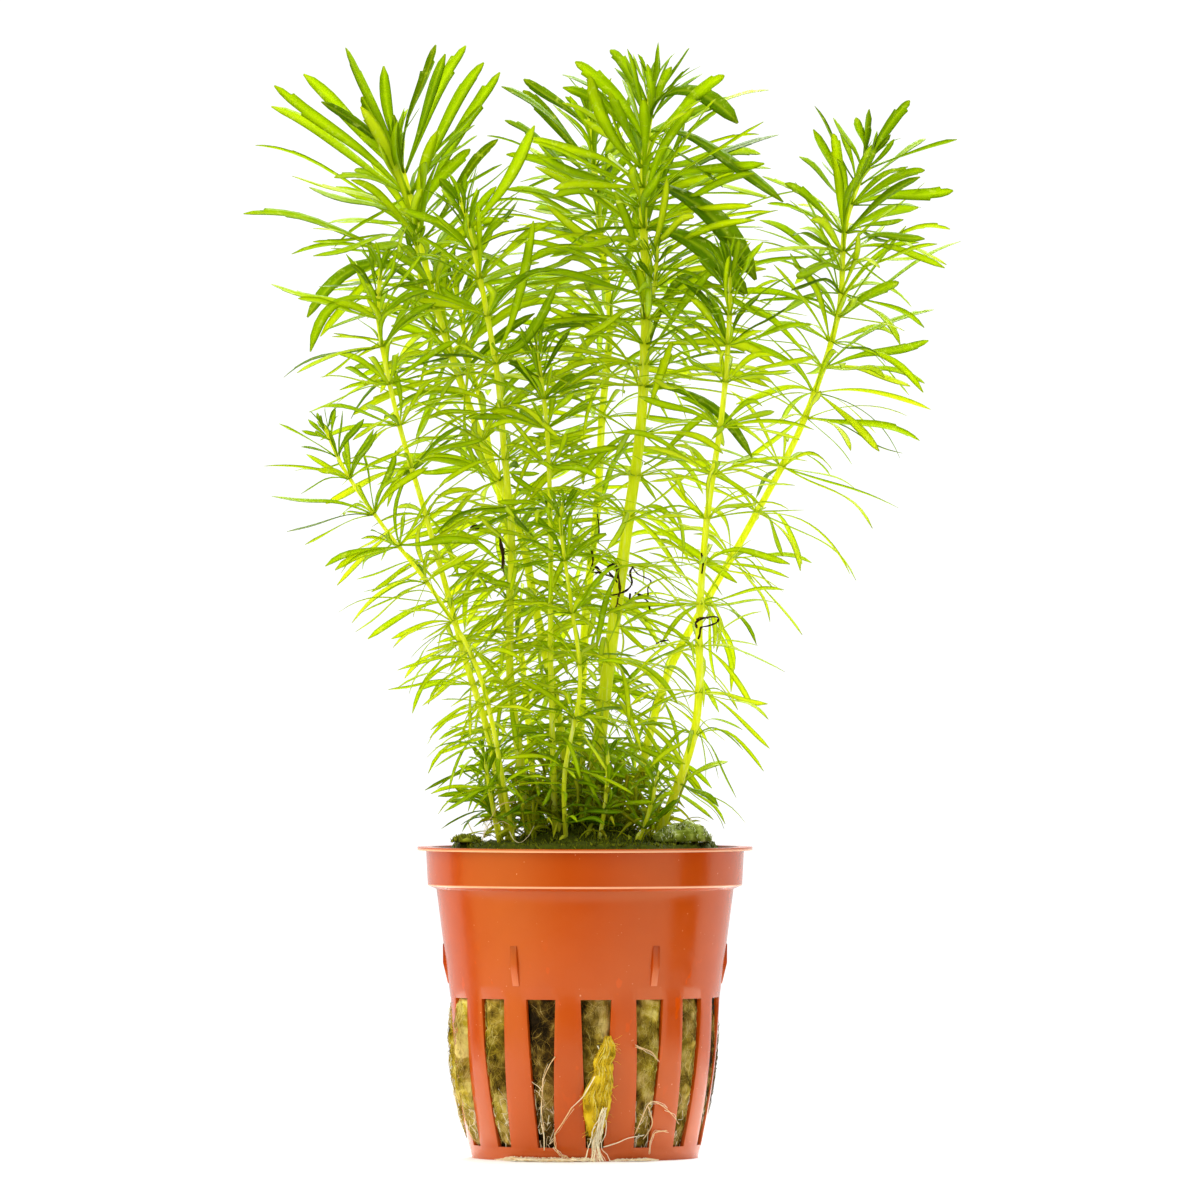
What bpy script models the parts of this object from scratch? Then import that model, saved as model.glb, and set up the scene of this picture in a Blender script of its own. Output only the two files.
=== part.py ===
"""Potted Pogostemon deccanensis in a slotted net pot.

The pot stands on the floor with its base centre at the origin and its axis along +Z.
The front of the plant faces -Y. Lengths below are millimetres.
"""
import math
import random

import bmesh
import bpy
import numpy as np
from mathutils import Vector

MM = 0.001
SEED = 23
FIT_GAP = 0.35

# Pot: slots are numbered by their azimuth, measured from the front towards +X
SLOT_COUNT = 15
SLOT_PHASE = 4.8
COLUMNS_PER_SLOT = 3
SLOT_TOP_Z = 26.4
SLOT_FOOT_Z = 2.2
SLOT_TOP_HALF_ANGLE = 6.6
SLOT_FOOT_HALF_ANGLE = 4.35
FLANGE_RADIUS = 27.5
FLANGE_THICKNESS = 0.55
RIM_Z = 51.0
COLLAR_TOP_RADIUS = 26.1
COLLAR_FOOT_RADIUS = 25.8
COLLAR_FOOT_Z = 44.7
WALL_TOP_RADIUS = 24.4
WALL_TOP_Z = 44.1
WALL_SLOT_RADIUS = 22.1
WALL_FOOT_RADIUS = 19.2
WALL_THICKNESS = 0.8
BASE_RADIUS = 18.55
BASE_THICKNESS = 1.0
BASE_OPENING_OUTER = 15.0
BASE_OPENING_INNER = 6.5
BASE_OPENING_EVERY = 3
SLOT_ROW = 4
BASE_ROW = 7
FLOOR_LIFT = 0.02
LUG_AZIMUTHS = (30.0, 90.0, 150.0, 210.0, 270.0, 330.0)
LUG_WIDTH = 1.15
LUG_TOP_Z = 35.1
LUG_MIDDLE_Z = 32.0
LUG_FOOT_Z = 28.6
LUG_PROUD = 0.5
LUG_ROOT = 0.3
LUG_EDGE = 0.12

# Wool plug: outward bulge of each slot past the outer face of the wall
PLUG_TOP_Z = 46.9
PLUG_FOOT_Z = 2.25
PLUG_BULGE_Z = (5.5, 13.0, 21.0)
PLUG_BULGE_SHARE = (0.6, 1.0, 0.75)
SLOT_BULGE = (-0.7, -0.4, -0.4, -0.7, 0.2, -0.6, 0.3, -0.9, -0.5, 0.4, -0.8, 0.9, 0.6, 0.1, -1.0)

# Moss crust over the plug
CRUST_FOOT_Z = 47.25
CRUST_FLAT_Z = 51.0
CRUST_COLUMNS = 24
CRUST_RIM_RADIUS = 24.5
CRUST_RIDGE_RADIUS = 21.5
CRUST_FLAT_RADIUS = 16.5

# Leaves: rules along the stem by distance from the growing tip
TIP_DISTANCE = (0.0, 3.0, 8.0, 16.0, 30.0, 60.0, 90.0, 125.0)
CHORD_RISE = (72.0, 52.0, 36.0, 24.0, 11.0, -1.0, -17.0, -32.0)
CHORD_BEND = (5.0, 8.0, 11.0, 13.0, 15.0, 18.0, 26.0, 34.0)
RISE_SPREAD = 13.0
WHORL_TILT = (4.0, 15.0)
LENGTH_SHARE = (0.28, 0.5, 0.8, 1.0, 1.04, 0.98, 0.82, 0.68)
WIDTH_SHARE = (0.6, 0.9, 1.15, 1.1, 0.9, 0.68, 0.55, 0.55)
STOUT_CROWN = (1.0, 2.8, 5.4, 9.0, 13.8, 20.0)
SLIM_CROWN = (0.8, 2.6, 5.6, 9.8)
LEAF_GAP = 0.2
ROOM_PIECES = 9000
BENT_SIZE = 36.0
LOWEST_LEAF_Z = 53.6
LOW_SHARE = 0.45
STOUT_LEAF = 12.0
RIM_KEEP_OUT = 29.5
CLUMP_CENTRE = (16.0, -9.0, 51.5)
CLUMP_KEEP_OUT = 6.2
MOVES = ((0, 0, 1.0), (7, 0, 1.0), (-7, 0, 1.0), (0, 8, 1.0), (0, -8, 1.0), (12, 6, 1.0),
         (-12, -6, 1.0), (14, -8, 0.95), (-14, 8, 0.95), (0, 14, 0.9), (8, 16, 0.8),
         (-8, -12, 0.8), (0, 20, 0.75), (0, 4, 0.6))
SHIFTS = (0.0, 1.5, -1.5, 3.0, -3.0, 4.5, -4.5, 6.0, -6.0)

# Each shoot: route points, foot and tip radius, leaves a whorl, node spacing,
# leaf length and width, share of the lower leaves that is lost
SHOOTS = {
    'tall_left': dict(
        route=((-1.1, 5.0, 51.4), (-4.9, 5.8, 75.0), (-8.2, 6.6, 90.3), (-10.8, 7.3, 102.8),
               (-17.6, 9.0, 119.4), (-24.5, 10.6, 139.7), (-28.6, 11.6, 157.0),
               (-31.7, 12.0, 167.0)),
        radii=(0.82, 0.5), leaves=7, spacing=7.6, leaf=(19.0, 1.5), lost=0.5),
    'inner_left': dict(
        route=((-8.7, -3.0, 51.4), (-12.0, -4.6, 76.0), (-12.3, -5.6, 87.7), (-12.0, -6.6, 101.8),
               (-13.3, -7.8, 116.7), (-14.4, -8.8, 128.7), (-17.4, -9.6, 145.3),
               (-20.4, -10.0, 157.5)),
        radii=(0.75, 0.42), leaves=6, spacing=7.6, leaf=(14.5, 1.15), lost=0.4),
    'left': dict(
        route=((-12.3, -2.5, 51.4), (-15.8, -4.4, 69.3), (-19.4, -5.6, 81.0), (-22.8, -6.8, 93.8),
               (-26.8, -8.2, 107.9), (-30.7, -9.6, 121.5), (-33.7, -11.0, 136.6),
               (-33.3, -12.0, 146.6)),
        radii=(0.58, 0.36), leaves=6, spacing=7.4, leaf=(13.5, 1.0), lost=0.25),
    'low_left': dict(
        route=((-11.5, -10.0, 51.4), (-16.7, -13.6, 77.7), (-23.8, -16.2, 91.5),
               (-32.7, -18.8, 103.3), (-38.9, -20.4, 112.3), (-42.5, -22.0, 120.0)),
        radii=(0.42, 0.3), leaves=6, spacing=7.2, leaf=(11.5, 0.85), lost=0.3),
    'middle': dict(
        route=((-4.8, -8.0, 51.4), (-5.6, -9.6, 81.0), (-5.6, -10.8, 101.1), (-6.2, -12.2, 119.2),
               (-7.9, -13.5, 133.3)),
        radii=(0.52, 0.34), leaves=6, spacing=7.4, leaf=(12.5, 0.95), lost=0.35),
    'centre': dict(
        route=((0.5, 0.0, 51.4), (3.1, -0.6, 75.0), (6.7, -1.0, 101.8), (9.2, -1.4, 120.7),
               (10.0, -1.8, 141.7), (9.5, -2.0, 158.8), (11.0, -2.0, 176.0)),
        radii=(1.25, 0.62), leaves=7, spacing=7.6, leaf=(19.5, 1.5), lost=0.45),
    'back': dict(
        route=((-1.6, 11.5, 51.4), (0.0, 13.4, 87.0), (2.0, 14.8, 106.9), (2.8, 16.0, 121.8),
               (4.1, 17.6, 138.1), (2.5, 19.0, 152.0), (0.8, 20.0, 172.2)),
        radii=(0.82, 0.5), leaves=6, spacing=7.6, leaf=(17.0, 1.4), lost=0.4),
    'right': dict(
        route=((11.5, -4.5, 51.4), (17.1, -7.0, 66.7), (18.7, -8.2, 76.7), (18.7, -9.4, 88.2),
               (19.9, -11.0, 104.4), (22.5, -13.0, 123.0), (23.6, -14.6, 138.3),
               (23.3, -15.6, 147.0)),
        radii=(0.75, 0.4), leaves=6, spacing=7.6, leaf=(14.0, 1.0), lost=0.2),
    'far_right': dict(
        route=((6.6, 7.0, 51.4), (12.8, 8.6, 77.0), (20.4, 9.8, 92.0), (27.6, 10.8, 104.6),
               (35.8, 12.2, 120.5), (41.7, 13.2, 138.3), (43.0, 13.8, 153.4),
               (47.0, 14.0, 165.3)),
        radii=(0.72, 0.44), leaves=6, spacing=8.4, leaf=(16.5, 1.3), lost=0.35),
    'front': dict(
        route=((-3.1, -12.6, 51.4), (-3.3, -13.6, 63.2), (-0.8, -15.2, 77.7),
               (-2.3, -16.8, 91.1), (-3.9, -18.2, 103.0), (-3.6, -18.8, 107.6)),
        radii=(0.4, 0.28), leaves=6, spacing=8.6, leaf=(11.0, 0.8), lost=0.1),
    'back_left': dict(
        route=((-7.6, 9.5, 51.4), (-11.5, 14.6, 91.5), (-16.3, 18.2, 119.4), (-19.2, 19.8, 131.9),
               (-22.0, 21.2, 146.0)),
        radii=(0.55, 0.36), leaves=6, spacing=7.8, leaf=(14.0, 1.1), lost=0.35),
}

# Short shoots beside the main ones
SHORT_SHOOTS = {
    'side_upper_left': dict(
        route=((-27.0, 9.4, 143.6), (-27.6, 6.0, 147.6), (-27.9, 4.6, 152.4)),
        radii=(0.34, 0.28), leaves=5, spacing=4.6, leaf=(8.0, 0.9), lost=0.0),
    'side_centre': dict(
        route=((10.2, -3.2, 138.6), (11.4, -6.4, 143.0), (11.9, -7.4, 149.4)),
        radii=(0.36, 0.28), leaves=5, spacing=4.8, leaf=(9.0, 1.0), lost=0.0),
    'base_front_left': dict(
        route=((-14.0, -7.0, 51.4), (-15.2, -9.0, 58.0), (-16.4, -10.4, 65.5)),
        radii=(0.36, 0.28), leaves=5, spacing=4.6, leaf=(8.5, 0.8), lost=0.0),
    'base_front': dict(
        route=((2.2, -11.4, 51.4), (3.4, -13.0, 59.0), (3.8, -13.8, 67.0)),
        radii=(0.36, 0.28), leaves=5, spacing=4.6, leaf=(9.0, 0.95), lost=0.0),
    'base_front_right': dict(
        route=((8.6, -9.4, 51.4), (10.8, -11.6, 58.0), (12.0, -12.8, 63.5)),
        radii=(0.36, 0.28), leaves=5, spacing=4.4, leaf=(9.0, 1.1), lost=0.0),
    'base_back': dict(
        route=((5.4, 13.0, 51.4), (7.6, 15.2, 60.0), (8.6, 16.4, 69.0)),
        radii=(0.36, 0.28), leaves=5, spacing=4.8, leaf=(9.0, 0.9), lost=0.0),
    'base_back_left': dict(
        route=((-13.6, 5.4, 51.4), (-15.6, 7.4, 60.0), (-17.0, 8.4, 68.0)),
        radii=(0.36, 0.28), leaves=5, spacing=4.8, leaf=(9.0, 0.9), lost=0.0),
}

# Leaf tips of the outline, as seen from the front: x and z
OUTLINE_TIPS = {
    'tall_left': (
        (-39.4, 182.3), (-46.5, 178.3), (-51.2, 176.2), (-51.9, 173.1), (-54.4, 166.5),
        (-56.2, 155.0), (-48.1, 161.1), (-24.6, 183.1), (-23.0, 181.4), (-19.7, 183.1),
        (-16.6, 179.8), (-14.1, 178.8), (-16.9, 173.4), (-18.9, 165.7), (-33.2, 179.5),
        (-45.8, 138.1), (-43.5, 173.6), (-36.9, 174.4)),
    'centre': (
        (12.0, 182.8), (4.1, 181.8), (17.1, 181.9), (-1.6, 179.5), (-3.8, 177.8), (0.8, 177.3),
        (3.9, 174.7), (30.2, 175.2), (22.8, 177.3), (25.0, 169.5), (28.9, 165.0), (25.0, 162.2),
        (32.5, 156.6), (29.2, 169.6), (31.9, 168.1), (37.1, 164.2), (28.1, 143.7), (26.3, 141.5),
        (34.8, 158.8), (37.8, 152.0)),
    'back': (
        (-10.2, 177.8), (-10.3, 176.0), (-13.8, 176.2), (-13.3, 170.8), (-16.3, 168.6),
        (18.9, 171.9)),
    'far_right': (
        (37.8, 172.9), (40.9, 171.1), (44.7, 171.1), (46.8, 172.4), (53.7, 174.1),
        (56.3, 167.8), (61.4, 167.5), (55.2, 161.2), (60.8, 159.1), (55.2, 156.5), (60.3, 152.7),
        (62.2, 150.9), (48.3, 146.0), (51.7, 143.8), (61.6, 143.3), (29.1, 150.6), (34.6, 144.7),
        (57.8, 139.6), (55.0, 117.7), (52.5, 115.8), (51.7, 106.7), (44.8, 94.7), (35.8, 85.7)),
    'right': (
        (29.9, 74.5), (25.8, 67.0), (23.5, 64.9), (21.8, 57.8), (25.8, 74.7)),
    'low_left': (
        (-52.2, 113.3), (-51.1, 108.4), (-48.4, 102.6), (-49.8, 120.2), (-44.8, 122.3),
        (-39.4, 122.3), (-36.0, 121.0)),
    'left': (
        (-32.3, 76.8), (-35.6, 85.1), (-38.3, 87.7), (-40.2, 89.5), (-40.6, 93.9),
        (-49.3, 127.9), (-46.8, 140.7), (-51.4, 143.2)),
    'inner_left': (
        (-23.6, 66.2), (-20.9, 60.3), (-18.4, 56.8), (-8.2, 169.1), (-23.8, 160.4),
        (-17.6, 162.9)),
}

# Roots, seen from the front: x and z of each point
RIB_LOOP = ((-2.1, 8.9), (-3.6, 6.4), (-4.9, 4.4), (-4.9, 2.6),
            (-3.9, 1.1), (-2.8, 0.8))
LEFT_STRAND = ((-4.9, 17.2), (-5.7, 15.9), (-6.7, 13.6), (-6.9, 11.5), (-7.0, 7.9), (-6.6, 5.0))
RIGHT_LOOP = ((8.2, 4.6), (9.5, 7.6), (10.4, 9.4), (11.7, 9.6), (13.3, 8.5), (14.6, 7.1),
              (15.4, 5.9))
RIGHT_ARC = ((13.3, 4.9), (11.5, 4.6), (10.7, 3.1), (10.5, 1.1))
UPPER_STRAND = ((8.4, 18.9), (10.7, 17.9), (12.0, 16.4))

# Strands that hang free: line, radius, colour, sides and taper
FREE_STRANDS = {
    'root_curled': (((-11.4, -13.4, 58.6), (-13.6, -14.6, 58.2), (-15.4, -15.0, 56.0),
                     (-16.4, -15.4, 53.6), (-16.0, -15.8, 52.6)), 0.16, 'root', 3, 0.6),
    'dried_centre': (((4.9, -2.95, 97.4), (5.7, -2.8, 94.5), (5.4, -2.65, 91.5),
                      (5.0, -2.5, 89.5)), 0.55, 'dried', 5, 0.4),
    'dried_left': (((-13.3, -6.95, 100.0), (-13.3, -6.85, 97.8), (-13.35, -6.75, 95.4)),
                   0.3, 'dried', 5, 0.5),
    'dried_right': (((18.2, -10.6, 88.3), (19.4, -10.75, 88.7), (20.6, -10.9, 88.2)),
                    0.2, 'dried', 4, 0.6),
}

COLOURS = {
    'pot': (0.61, 0.12, 0.035),
    'wool': (0.20, 0.17, 0.05),
    'yellow_wool': (0.60, 0.48, 0.03),
    'moss': (0.035, 0.07, 0.005),
    'pale_moss': (0.16, 0.20, 0.08),
    'shoot': (0.33, 0.50, 0.01),
    'root': (0.70, 0.60, 0.42),
    'dried': (0.05, 0.03, 0.01),
}


def clear_scene():
    for item in list(bpy.data.objects):
        bpy.data.objects.remove(item, do_unlink=True)


def material(name, colour, roughness):
    made = bpy.data.materials.new(name)
    made.use_nodes = True
    shader = made.node_tree.nodes['Principled BSDF']
    shader.inputs['Base Color'].default_value = (*colour, 1.0)
    shader.inputs['Roughness'].default_value = roughness
    return made


def make_object(name, points, faces, colour, roughness=0.6):
    """Turn points in millimetres and their faces into one closed object."""
    mesh = bpy.data.meshes.new(name)
    mesh.from_pydata([tuple(c * MM for c in p) for p in points], [], faces)
    work = bmesh.new()
    work.from_mesh(mesh)
    bmesh.ops.recalc_face_normals(work, faces=work.faces)
    work.to_mesh(mesh)
    work.free()
    item = bpy.data.objects.new(name, mesh)
    bpy.context.scene.collection.objects.link(item)
    item.data.materials.append(material(name + '_surface', colour, roughness))
    return item


def polar(radius, azimuth, z):
    """Point at an azimuth in degrees from the front towards +X."""
    angle = math.radians(azimuth)
    return (radius * math.sin(angle), -radius * math.cos(angle), z)


def column_azimuth(column, half_angle):
    slot, place = divmod(column, COLUMNS_PER_SLOT)
    centre = SLOT_PHASE + slot * 360.0 / SLOT_COUNT
    return centre + (place - 1) * half_angle


def wall_radius(z):
    """Outer radius of the tapered wall."""
    return float(np.interp(z, (SLOT_FOOT_Z, SLOT_TOP_Z, WALL_TOP_Z),
                           (WALL_FOOT_RADIUS, WALL_SLOT_RADIUS, WALL_TOP_RADIUS)))


def slot_half_angle(z):
    return float(np.interp(z, (SLOT_FOOT_Z, SLOT_TOP_Z),
                           (SLOT_FOOT_HALF_ANGLE, SLOT_TOP_HALF_ANGLE)))


def pot_profile():
    """Rows of the pot sheet: outer radius and z, inner radius and z, column half angle."""
    even = 360.0 / SLOT_COUNT / COLUMNS_PER_SLOT
    under = RIM_Z - FLANGE_THICKNESS
    wall = WALL_THICKNESS
    return (
        (FLANGE_RADIUS, under, FLANGE_RADIUS, RIM_Z, even),
        (COLLAR_TOP_RADIUS, under, COLLAR_TOP_RADIUS - wall, RIM_Z, even),
        (COLLAR_FOOT_RADIUS, COLLAR_FOOT_Z, COLLAR_FOOT_RADIUS - wall, COLLAR_FOOT_Z + wall, even),
        (WALL_TOP_RADIUS, WALL_TOP_Z, WALL_TOP_RADIUS - wall, WALL_TOP_Z + wall, even),
        (WALL_SLOT_RADIUS, SLOT_TOP_Z, WALL_SLOT_RADIUS - wall, SLOT_TOP_Z, SLOT_TOP_HALF_ANGLE),
        (WALL_FOOT_RADIUS, SLOT_FOOT_Z, WALL_FOOT_RADIUS - wall, SLOT_FOOT_Z,
         SLOT_FOOT_HALF_ANGLE),
        (BASE_RADIUS, 0.0, BASE_RADIUS - wall, BASE_THICKNESS, even),
        (BASE_OPENING_OUTER, 0.0, BASE_OPENING_OUTER, BASE_THICKNESS, even),
        (BASE_OPENING_INNER, 0.0, BASE_OPENING_INNER, BASE_THICKNESS, even),
    )


def open_cell(row, column):
    """Whether the sheet is open between this row and the next, right of this column."""
    slot, place = divmod(column, COLUMNS_PER_SLOT)
    in_slot = place != COLUMNS_PER_SLOT - 1
    if row == SLOT_ROW:
        return in_slot
    return row == BASE_ROW and in_slot and slot % BASE_OPENING_EVERY == 0


def sheet_faces(rows, columns, is_open):
    """Faces of a closed two-sided sheet with openings; inner points follow the outer ones."""
    half = rows * columns

    def index(row, column, inner):
        return row * columns + column % columns + (half if inner else 0)

    faces = []
    for row in range(rows - 1):
        for column in range(columns):
            cell = ((row, column), (row, column + 1), (row + 1, column + 1), (row + 1, column))
            if is_open(row, column):
                if row == rows - 2:
                    a, b = cell[2], cell[3]
                    faces.append([index(*a, False), index(*b, False), index(*b, True),
                                  index(*a, True)])
                continue
            faces.append([index(r, c, False) for r, c in cell])
            faces.append([index(r, c, True) for r, c in reversed(cell)])
            beside = ((row - 1, column), (row, column + 1), (row + 1, column), (row, column - 1))
            for side, (r, c) in enumerate(beside):
                edge_of_sheet = r < 0
                hole = 0 <= r < rows - 1 and is_open(r, c % columns)
                if edge_of_sheet or hole:
                    a = cell[side]
                    b = cell[(side + 1) % 4]
                    faces.append([index(*b, False), index(*a, False), index(*a, True),
                                  index(*b, True)])
    return faces


def lug_shape(azimuth):
    """Points and faces of one lug: a fin that rises from the wall and falls back to it."""
    low = wall_radius(LUG_FOOT_Z)
    high = wall_radius(LUG_TOP_Z)
    middle = wall_radius(LUG_MIDDLE_Z)
    outline = ((high - LUG_ROOT, LUG_TOP_Z), (high + LUG_EDGE, LUG_TOP_Z),
               (middle + LUG_PROUD, LUG_MIDDLE_Z), (low + LUG_EDGE, LUG_FOOT_Z),
               (low - LUG_ROOT, LUG_FOOT_Z))
    half = math.degrees(0.5 * LUG_WIDTH / low)
    count = len(outline)
    points = [polar(r, azimuth - half, z) for r, z in outline]
    points += [polar(r, azimuth + half, z) for r, z in outline]
    faces = [list(range(count)), list(range(2 * count - 1, count - 1, -1))]
    for i in range(count):
        j = (i + 1) % count
        faces.append([i, i + count, j + count, j])
    return points, faces


def add_lug(pot, azimuth):
    """Weld one small stacking fin to the outer wall."""
    fin = make_object('lug', *lug_shape(azimuth), COLOURS['pot'])
    weld = pot.modifiers.new('lug', 'BOOLEAN')
    weld.operation = 'UNION'
    weld.solver = 'EXACT'
    weld.object = fin
    apply_modifiers(pot)
    bpy.data.objects.remove(fin, do_unlink=True)


def apply_modifiers(item):
    graph = bpy.context.evaluated_depsgraph_get()
    result = bpy.data.meshes.new_from_object(item.evaluated_get(graph))
    item.modifiers.clear()
    item.data = result


def build_pot():
    profile = pot_profile()
    columns = SLOT_COUNT * COLUMNS_PER_SLOT
    outer = []
    inner = []
    for out_r, out_z, in_r, in_z, half in profile:
        for column in range(columns):
            azimuth = column_azimuth(column, half)
            outer.append(polar(out_r, azimuth, out_z))
            inner.append(polar(in_r, azimuth, in_z))
    rows = len(profile)
    faces = sheet_faces(rows, columns, open_cell)
    last = (rows - 1) * columns
    faces.append([last + c for c in range(columns)])
    faces.append([rows * columns + last + c for c in reversed(range(columns))])
    pot = make_object('net_pot', outer + inner, faces, COLOURS['pot'], 0.35)
    for azimuth in LUG_AZIMUTHS:
        add_lug(pot, azimuth)
    return pot


def loft(rings, cap_first=True, cap_last=True):
    """Points and faces of a closed body through rings with the same point count."""
    count = len(rings[0])
    points = [p for ring in rings for p in ring]
    faces = []
    for level in range(len(rings) - 1):
        for i in range(count):
            j = (i + 1) % count
            a = level * count
            b = a + count
            faces.append([a + i, a + j, b + j, b + i])
    if cap_first:
        faces.append(list(range(count))[::-1])
    if cap_last:
        faces.append([(len(rings) - 1) * count + i for i in range(count)])
    return points, faces


def build_plug():
    """Rock wool plug that follows the inner wall and bulges through the slots."""
    columns = SLOT_COUNT * COLUMNS_PER_SLOT
    levels = (PLUG_FOOT_Z, *PLUG_BULGE_Z, SLOT_TOP_Z, PLUG_TOP_Z)
    rings = []
    for z in levels:
        inside = min(wall_radius(z), wall_radius(WALL_TOP_Z)) - WALL_THICKNESS - FIT_GAP
        ring = []
        for column in range(columns):
            slot, place = divmod(column, COLUMNS_PER_SLOT)
            radius = inside
            if place == 1 and z in PLUG_BULGE_Z:
                share = PLUG_BULGE_SHARE[PLUG_BULGE_Z.index(z)]
                radius += (SLOT_BULGE[slot] + WALL_THICKNESS + FIT_GAP) * share
            ring.append(polar(radius, column_azimuth(column, slot_half_angle(z)), z))
        rings.append(ring)
    return make_object('wool_plug', *loft(rings), COLOURS['wool'], 0.9)


def crust_height(radius, rng):
    if radius <= CRUST_FLAT_RADIUS:
        return CRUST_FLAT_Z
    return CRUST_FLAT_Z + rng.uniform(0.15, 1.1)


def build_crust():
    rng = random.Random(SEED)
    rings = []
    ladder = ((CRUST_RIM_RADIUS - 0.3, CRUST_FOOT_Z), (CRUST_RIM_RADIUS, None),
              (CRUST_RIDGE_RADIUS, None), (CRUST_FLAT_RADIUS, None))
    for radius, fixed in ladder:
        ring = []
        for column in range(CRUST_COLUMNS):
            azimuth = column * 360.0 / CRUST_COLUMNS
            z = fixed if fixed else crust_height(radius, rng)
            ring.append(polar(radius, azimuth, z))
        rings.append(ring)
    return make_object('moss_crust', *loft(rings), COLOURS['moss'], 0.95)


def clump(name, centre, size, foot_z, colour, seed):
    """Low rounded clump with an uneven top."""
    rng = random.Random(seed)
    rings = []
    for share, lift in ((0.92, 0.0), (1.0, 0.3), (0.72, 0.75), (0.32, 0.98)):
        ring = []
        for i in range(9):
            angle = 2.0 * math.pi * i / 9.0
            wobble = rng.uniform(0.88, 1.08) if lift else 1.0
            ring.append((centre[0] + size[0] * share * wobble * math.cos(angle),
                         centre[1] + size[1] * share * wobble * math.sin(angle),
                         foot_z + size[2] * lift * wobble))
        rings.append(ring)
    return make_object(name, *loft(rings), colour, 0.95)


def spline(points, per_span=14):
    """Catmull-Rom curve through the points."""
    p = np.array(points, dtype=float)
    p = np.vstack((2 * p[0] - p[1], p, 2 * p[-1] - p[-2]))
    out = []
    for i in range(1, len(p) - 2):
        for t in np.linspace(0.0, 1.0, per_span, endpoint=False):
            a = 2 * p[i]
            b = p[i + 1] - p[i - 1]
            c = 2 * p[i - 1] - 5 * p[i] + 4 * p[i + 1] - p[i + 2]
            d = -p[i - 1] + 3 * p[i] - 3 * p[i + 1] + p[i + 2]
            out.append(0.5 * (a + b * t + c * t * t + d * t ** 3))
    out.append(p[-2])
    return np.array(out)


class Stem:
    """A stem's centre line, measured along its length."""

    def __init__(self, points):
        self.points = spline(points)
        steps = np.linalg.norm(np.diff(self.points, axis=0), axis=1)
        self.reach = np.concatenate(((0.0,), np.cumsum(steps)))
        self.length = float(self.reach[-1])

    def at(self, s):
        return np.array([np.interp(s, self.reach, self.points[:, k]) for k in range(3)])

    def frame(self, s):
        """Centre, side, forward and along directions."""
        along = self.at(min(s + 1.0, self.length)) - self.at(max(s - 1.0, 0.0))
        along /= np.linalg.norm(along)
        side = np.array((1.0, 0.0, 0.0)) - along * along[0]
        side /= np.linalg.norm(side)
        return self.at(s), side, np.cross(along, side), along


def node_places(stem, data, rng):
    """Distances of the leaf nodes from the growing tip."""
    stout = data['leaf'][0] > STOUT_LEAF
    crown = STOUT_CROWN if stout else SLIM_CROWN
    places = [c for c in crown if c < stem.length - 2.0]
    last = places[-1]
    while last + data['spacing'] * 1.2 < stem.length - 2.0:
        last += data['spacing'] * rng.uniform(0.88, 1.12)
        places.append(last)
    return places


def stem_radius(data, stem, s):
    foot, tip = data['radii']
    return foot + (tip - foot) * s / stem.length


def leaf_curve(base, out, along, rise, bend, length):
    """Base, middle and tip of a leaf that arches outward."""
    chord = math.radians(rise)
    start = math.radians(min(rise + bend, 84.0))
    tip = base + length * (math.cos(chord) * out + math.sin(chord) * along)
    lead = base + 0.5 * length * (math.cos(start) * out + math.sin(start) * along)
    return np.array((base, 0.25 * base + 0.5 * lead + 0.25 * tip, tip))


def grow_leaf(data, stem, s, angle, rng):
    """Size and pose that the growth rule gives a leaf at a place along the stem."""
    centre, side, forward, along = stem.frame(s)
    place = stem.length - s
    rise = float(np.interp(place, TIP_DISTANCE, CHORD_RISE))
    bend = float(np.interp(place, TIP_DISTANCE, CHORD_BEND))
    length = data['leaf'][0] * float(np.interp(place, TIP_DISTANCE, LENGTH_SHARE))
    width = data['leaf'][1] * float(np.interp(place, TIP_DISTANCE, WIDTH_SHARE))
    return dict(centre=centre, along=along, side=side, forward=forward,
                radius=stem_radius(data, stem, s), angle=angle,
                rise=rise + rng.uniform(-RISE_SPREAD, RISE_SPREAD),
                bend=bend * rng.uniform(0.2, 1.3),
                length=length * rng.uniform(0.82, 1.1), width=width * rng.uniform(0.85, 1.15),
                tip=None)


def plan_shoot(name, data, rng):
    """List the leaves that the growth rule gives one shoot."""
    stem = Stem(data['route'])
    count = data['leaves']
    phase = rng.uniform(0.0, 360.0)
    leaves = []
    nodes = []
    for k, place in enumerate(node_places(stem, data, rng)):
        s = stem.length - place
        phase += 180.0 / count
        tilt = rng.uniform(*WHORL_TILT)
        lean = rng.uniform(0.0, 2.0 * math.pi)
        nodes.append(dict(s=s, phase=phase, radius=stem_radius(data, stem, s)))
        for i in range(count):
            angle = math.radians(phase + (i + 0.5) * 360.0 / count)
            low = place > LOW_SHARE * stem.length
            dropped = low and rng.random() < data['lost']
            leaf = grow_leaf(data, stem, s, angle, rng)
            leaf['rise'] += tilt * math.cos(angle - lean)
            leaf.update(shoot=name, node=k, slot=i, kept=not dropped)
            leaf['bent'] = leaf['length'] * leaf['width'] > BENT_SIZE
            leaves.append(leaf)
    return dict(name=name, stem=stem, nodes=nodes, leaves=leaves, data=data)


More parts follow.
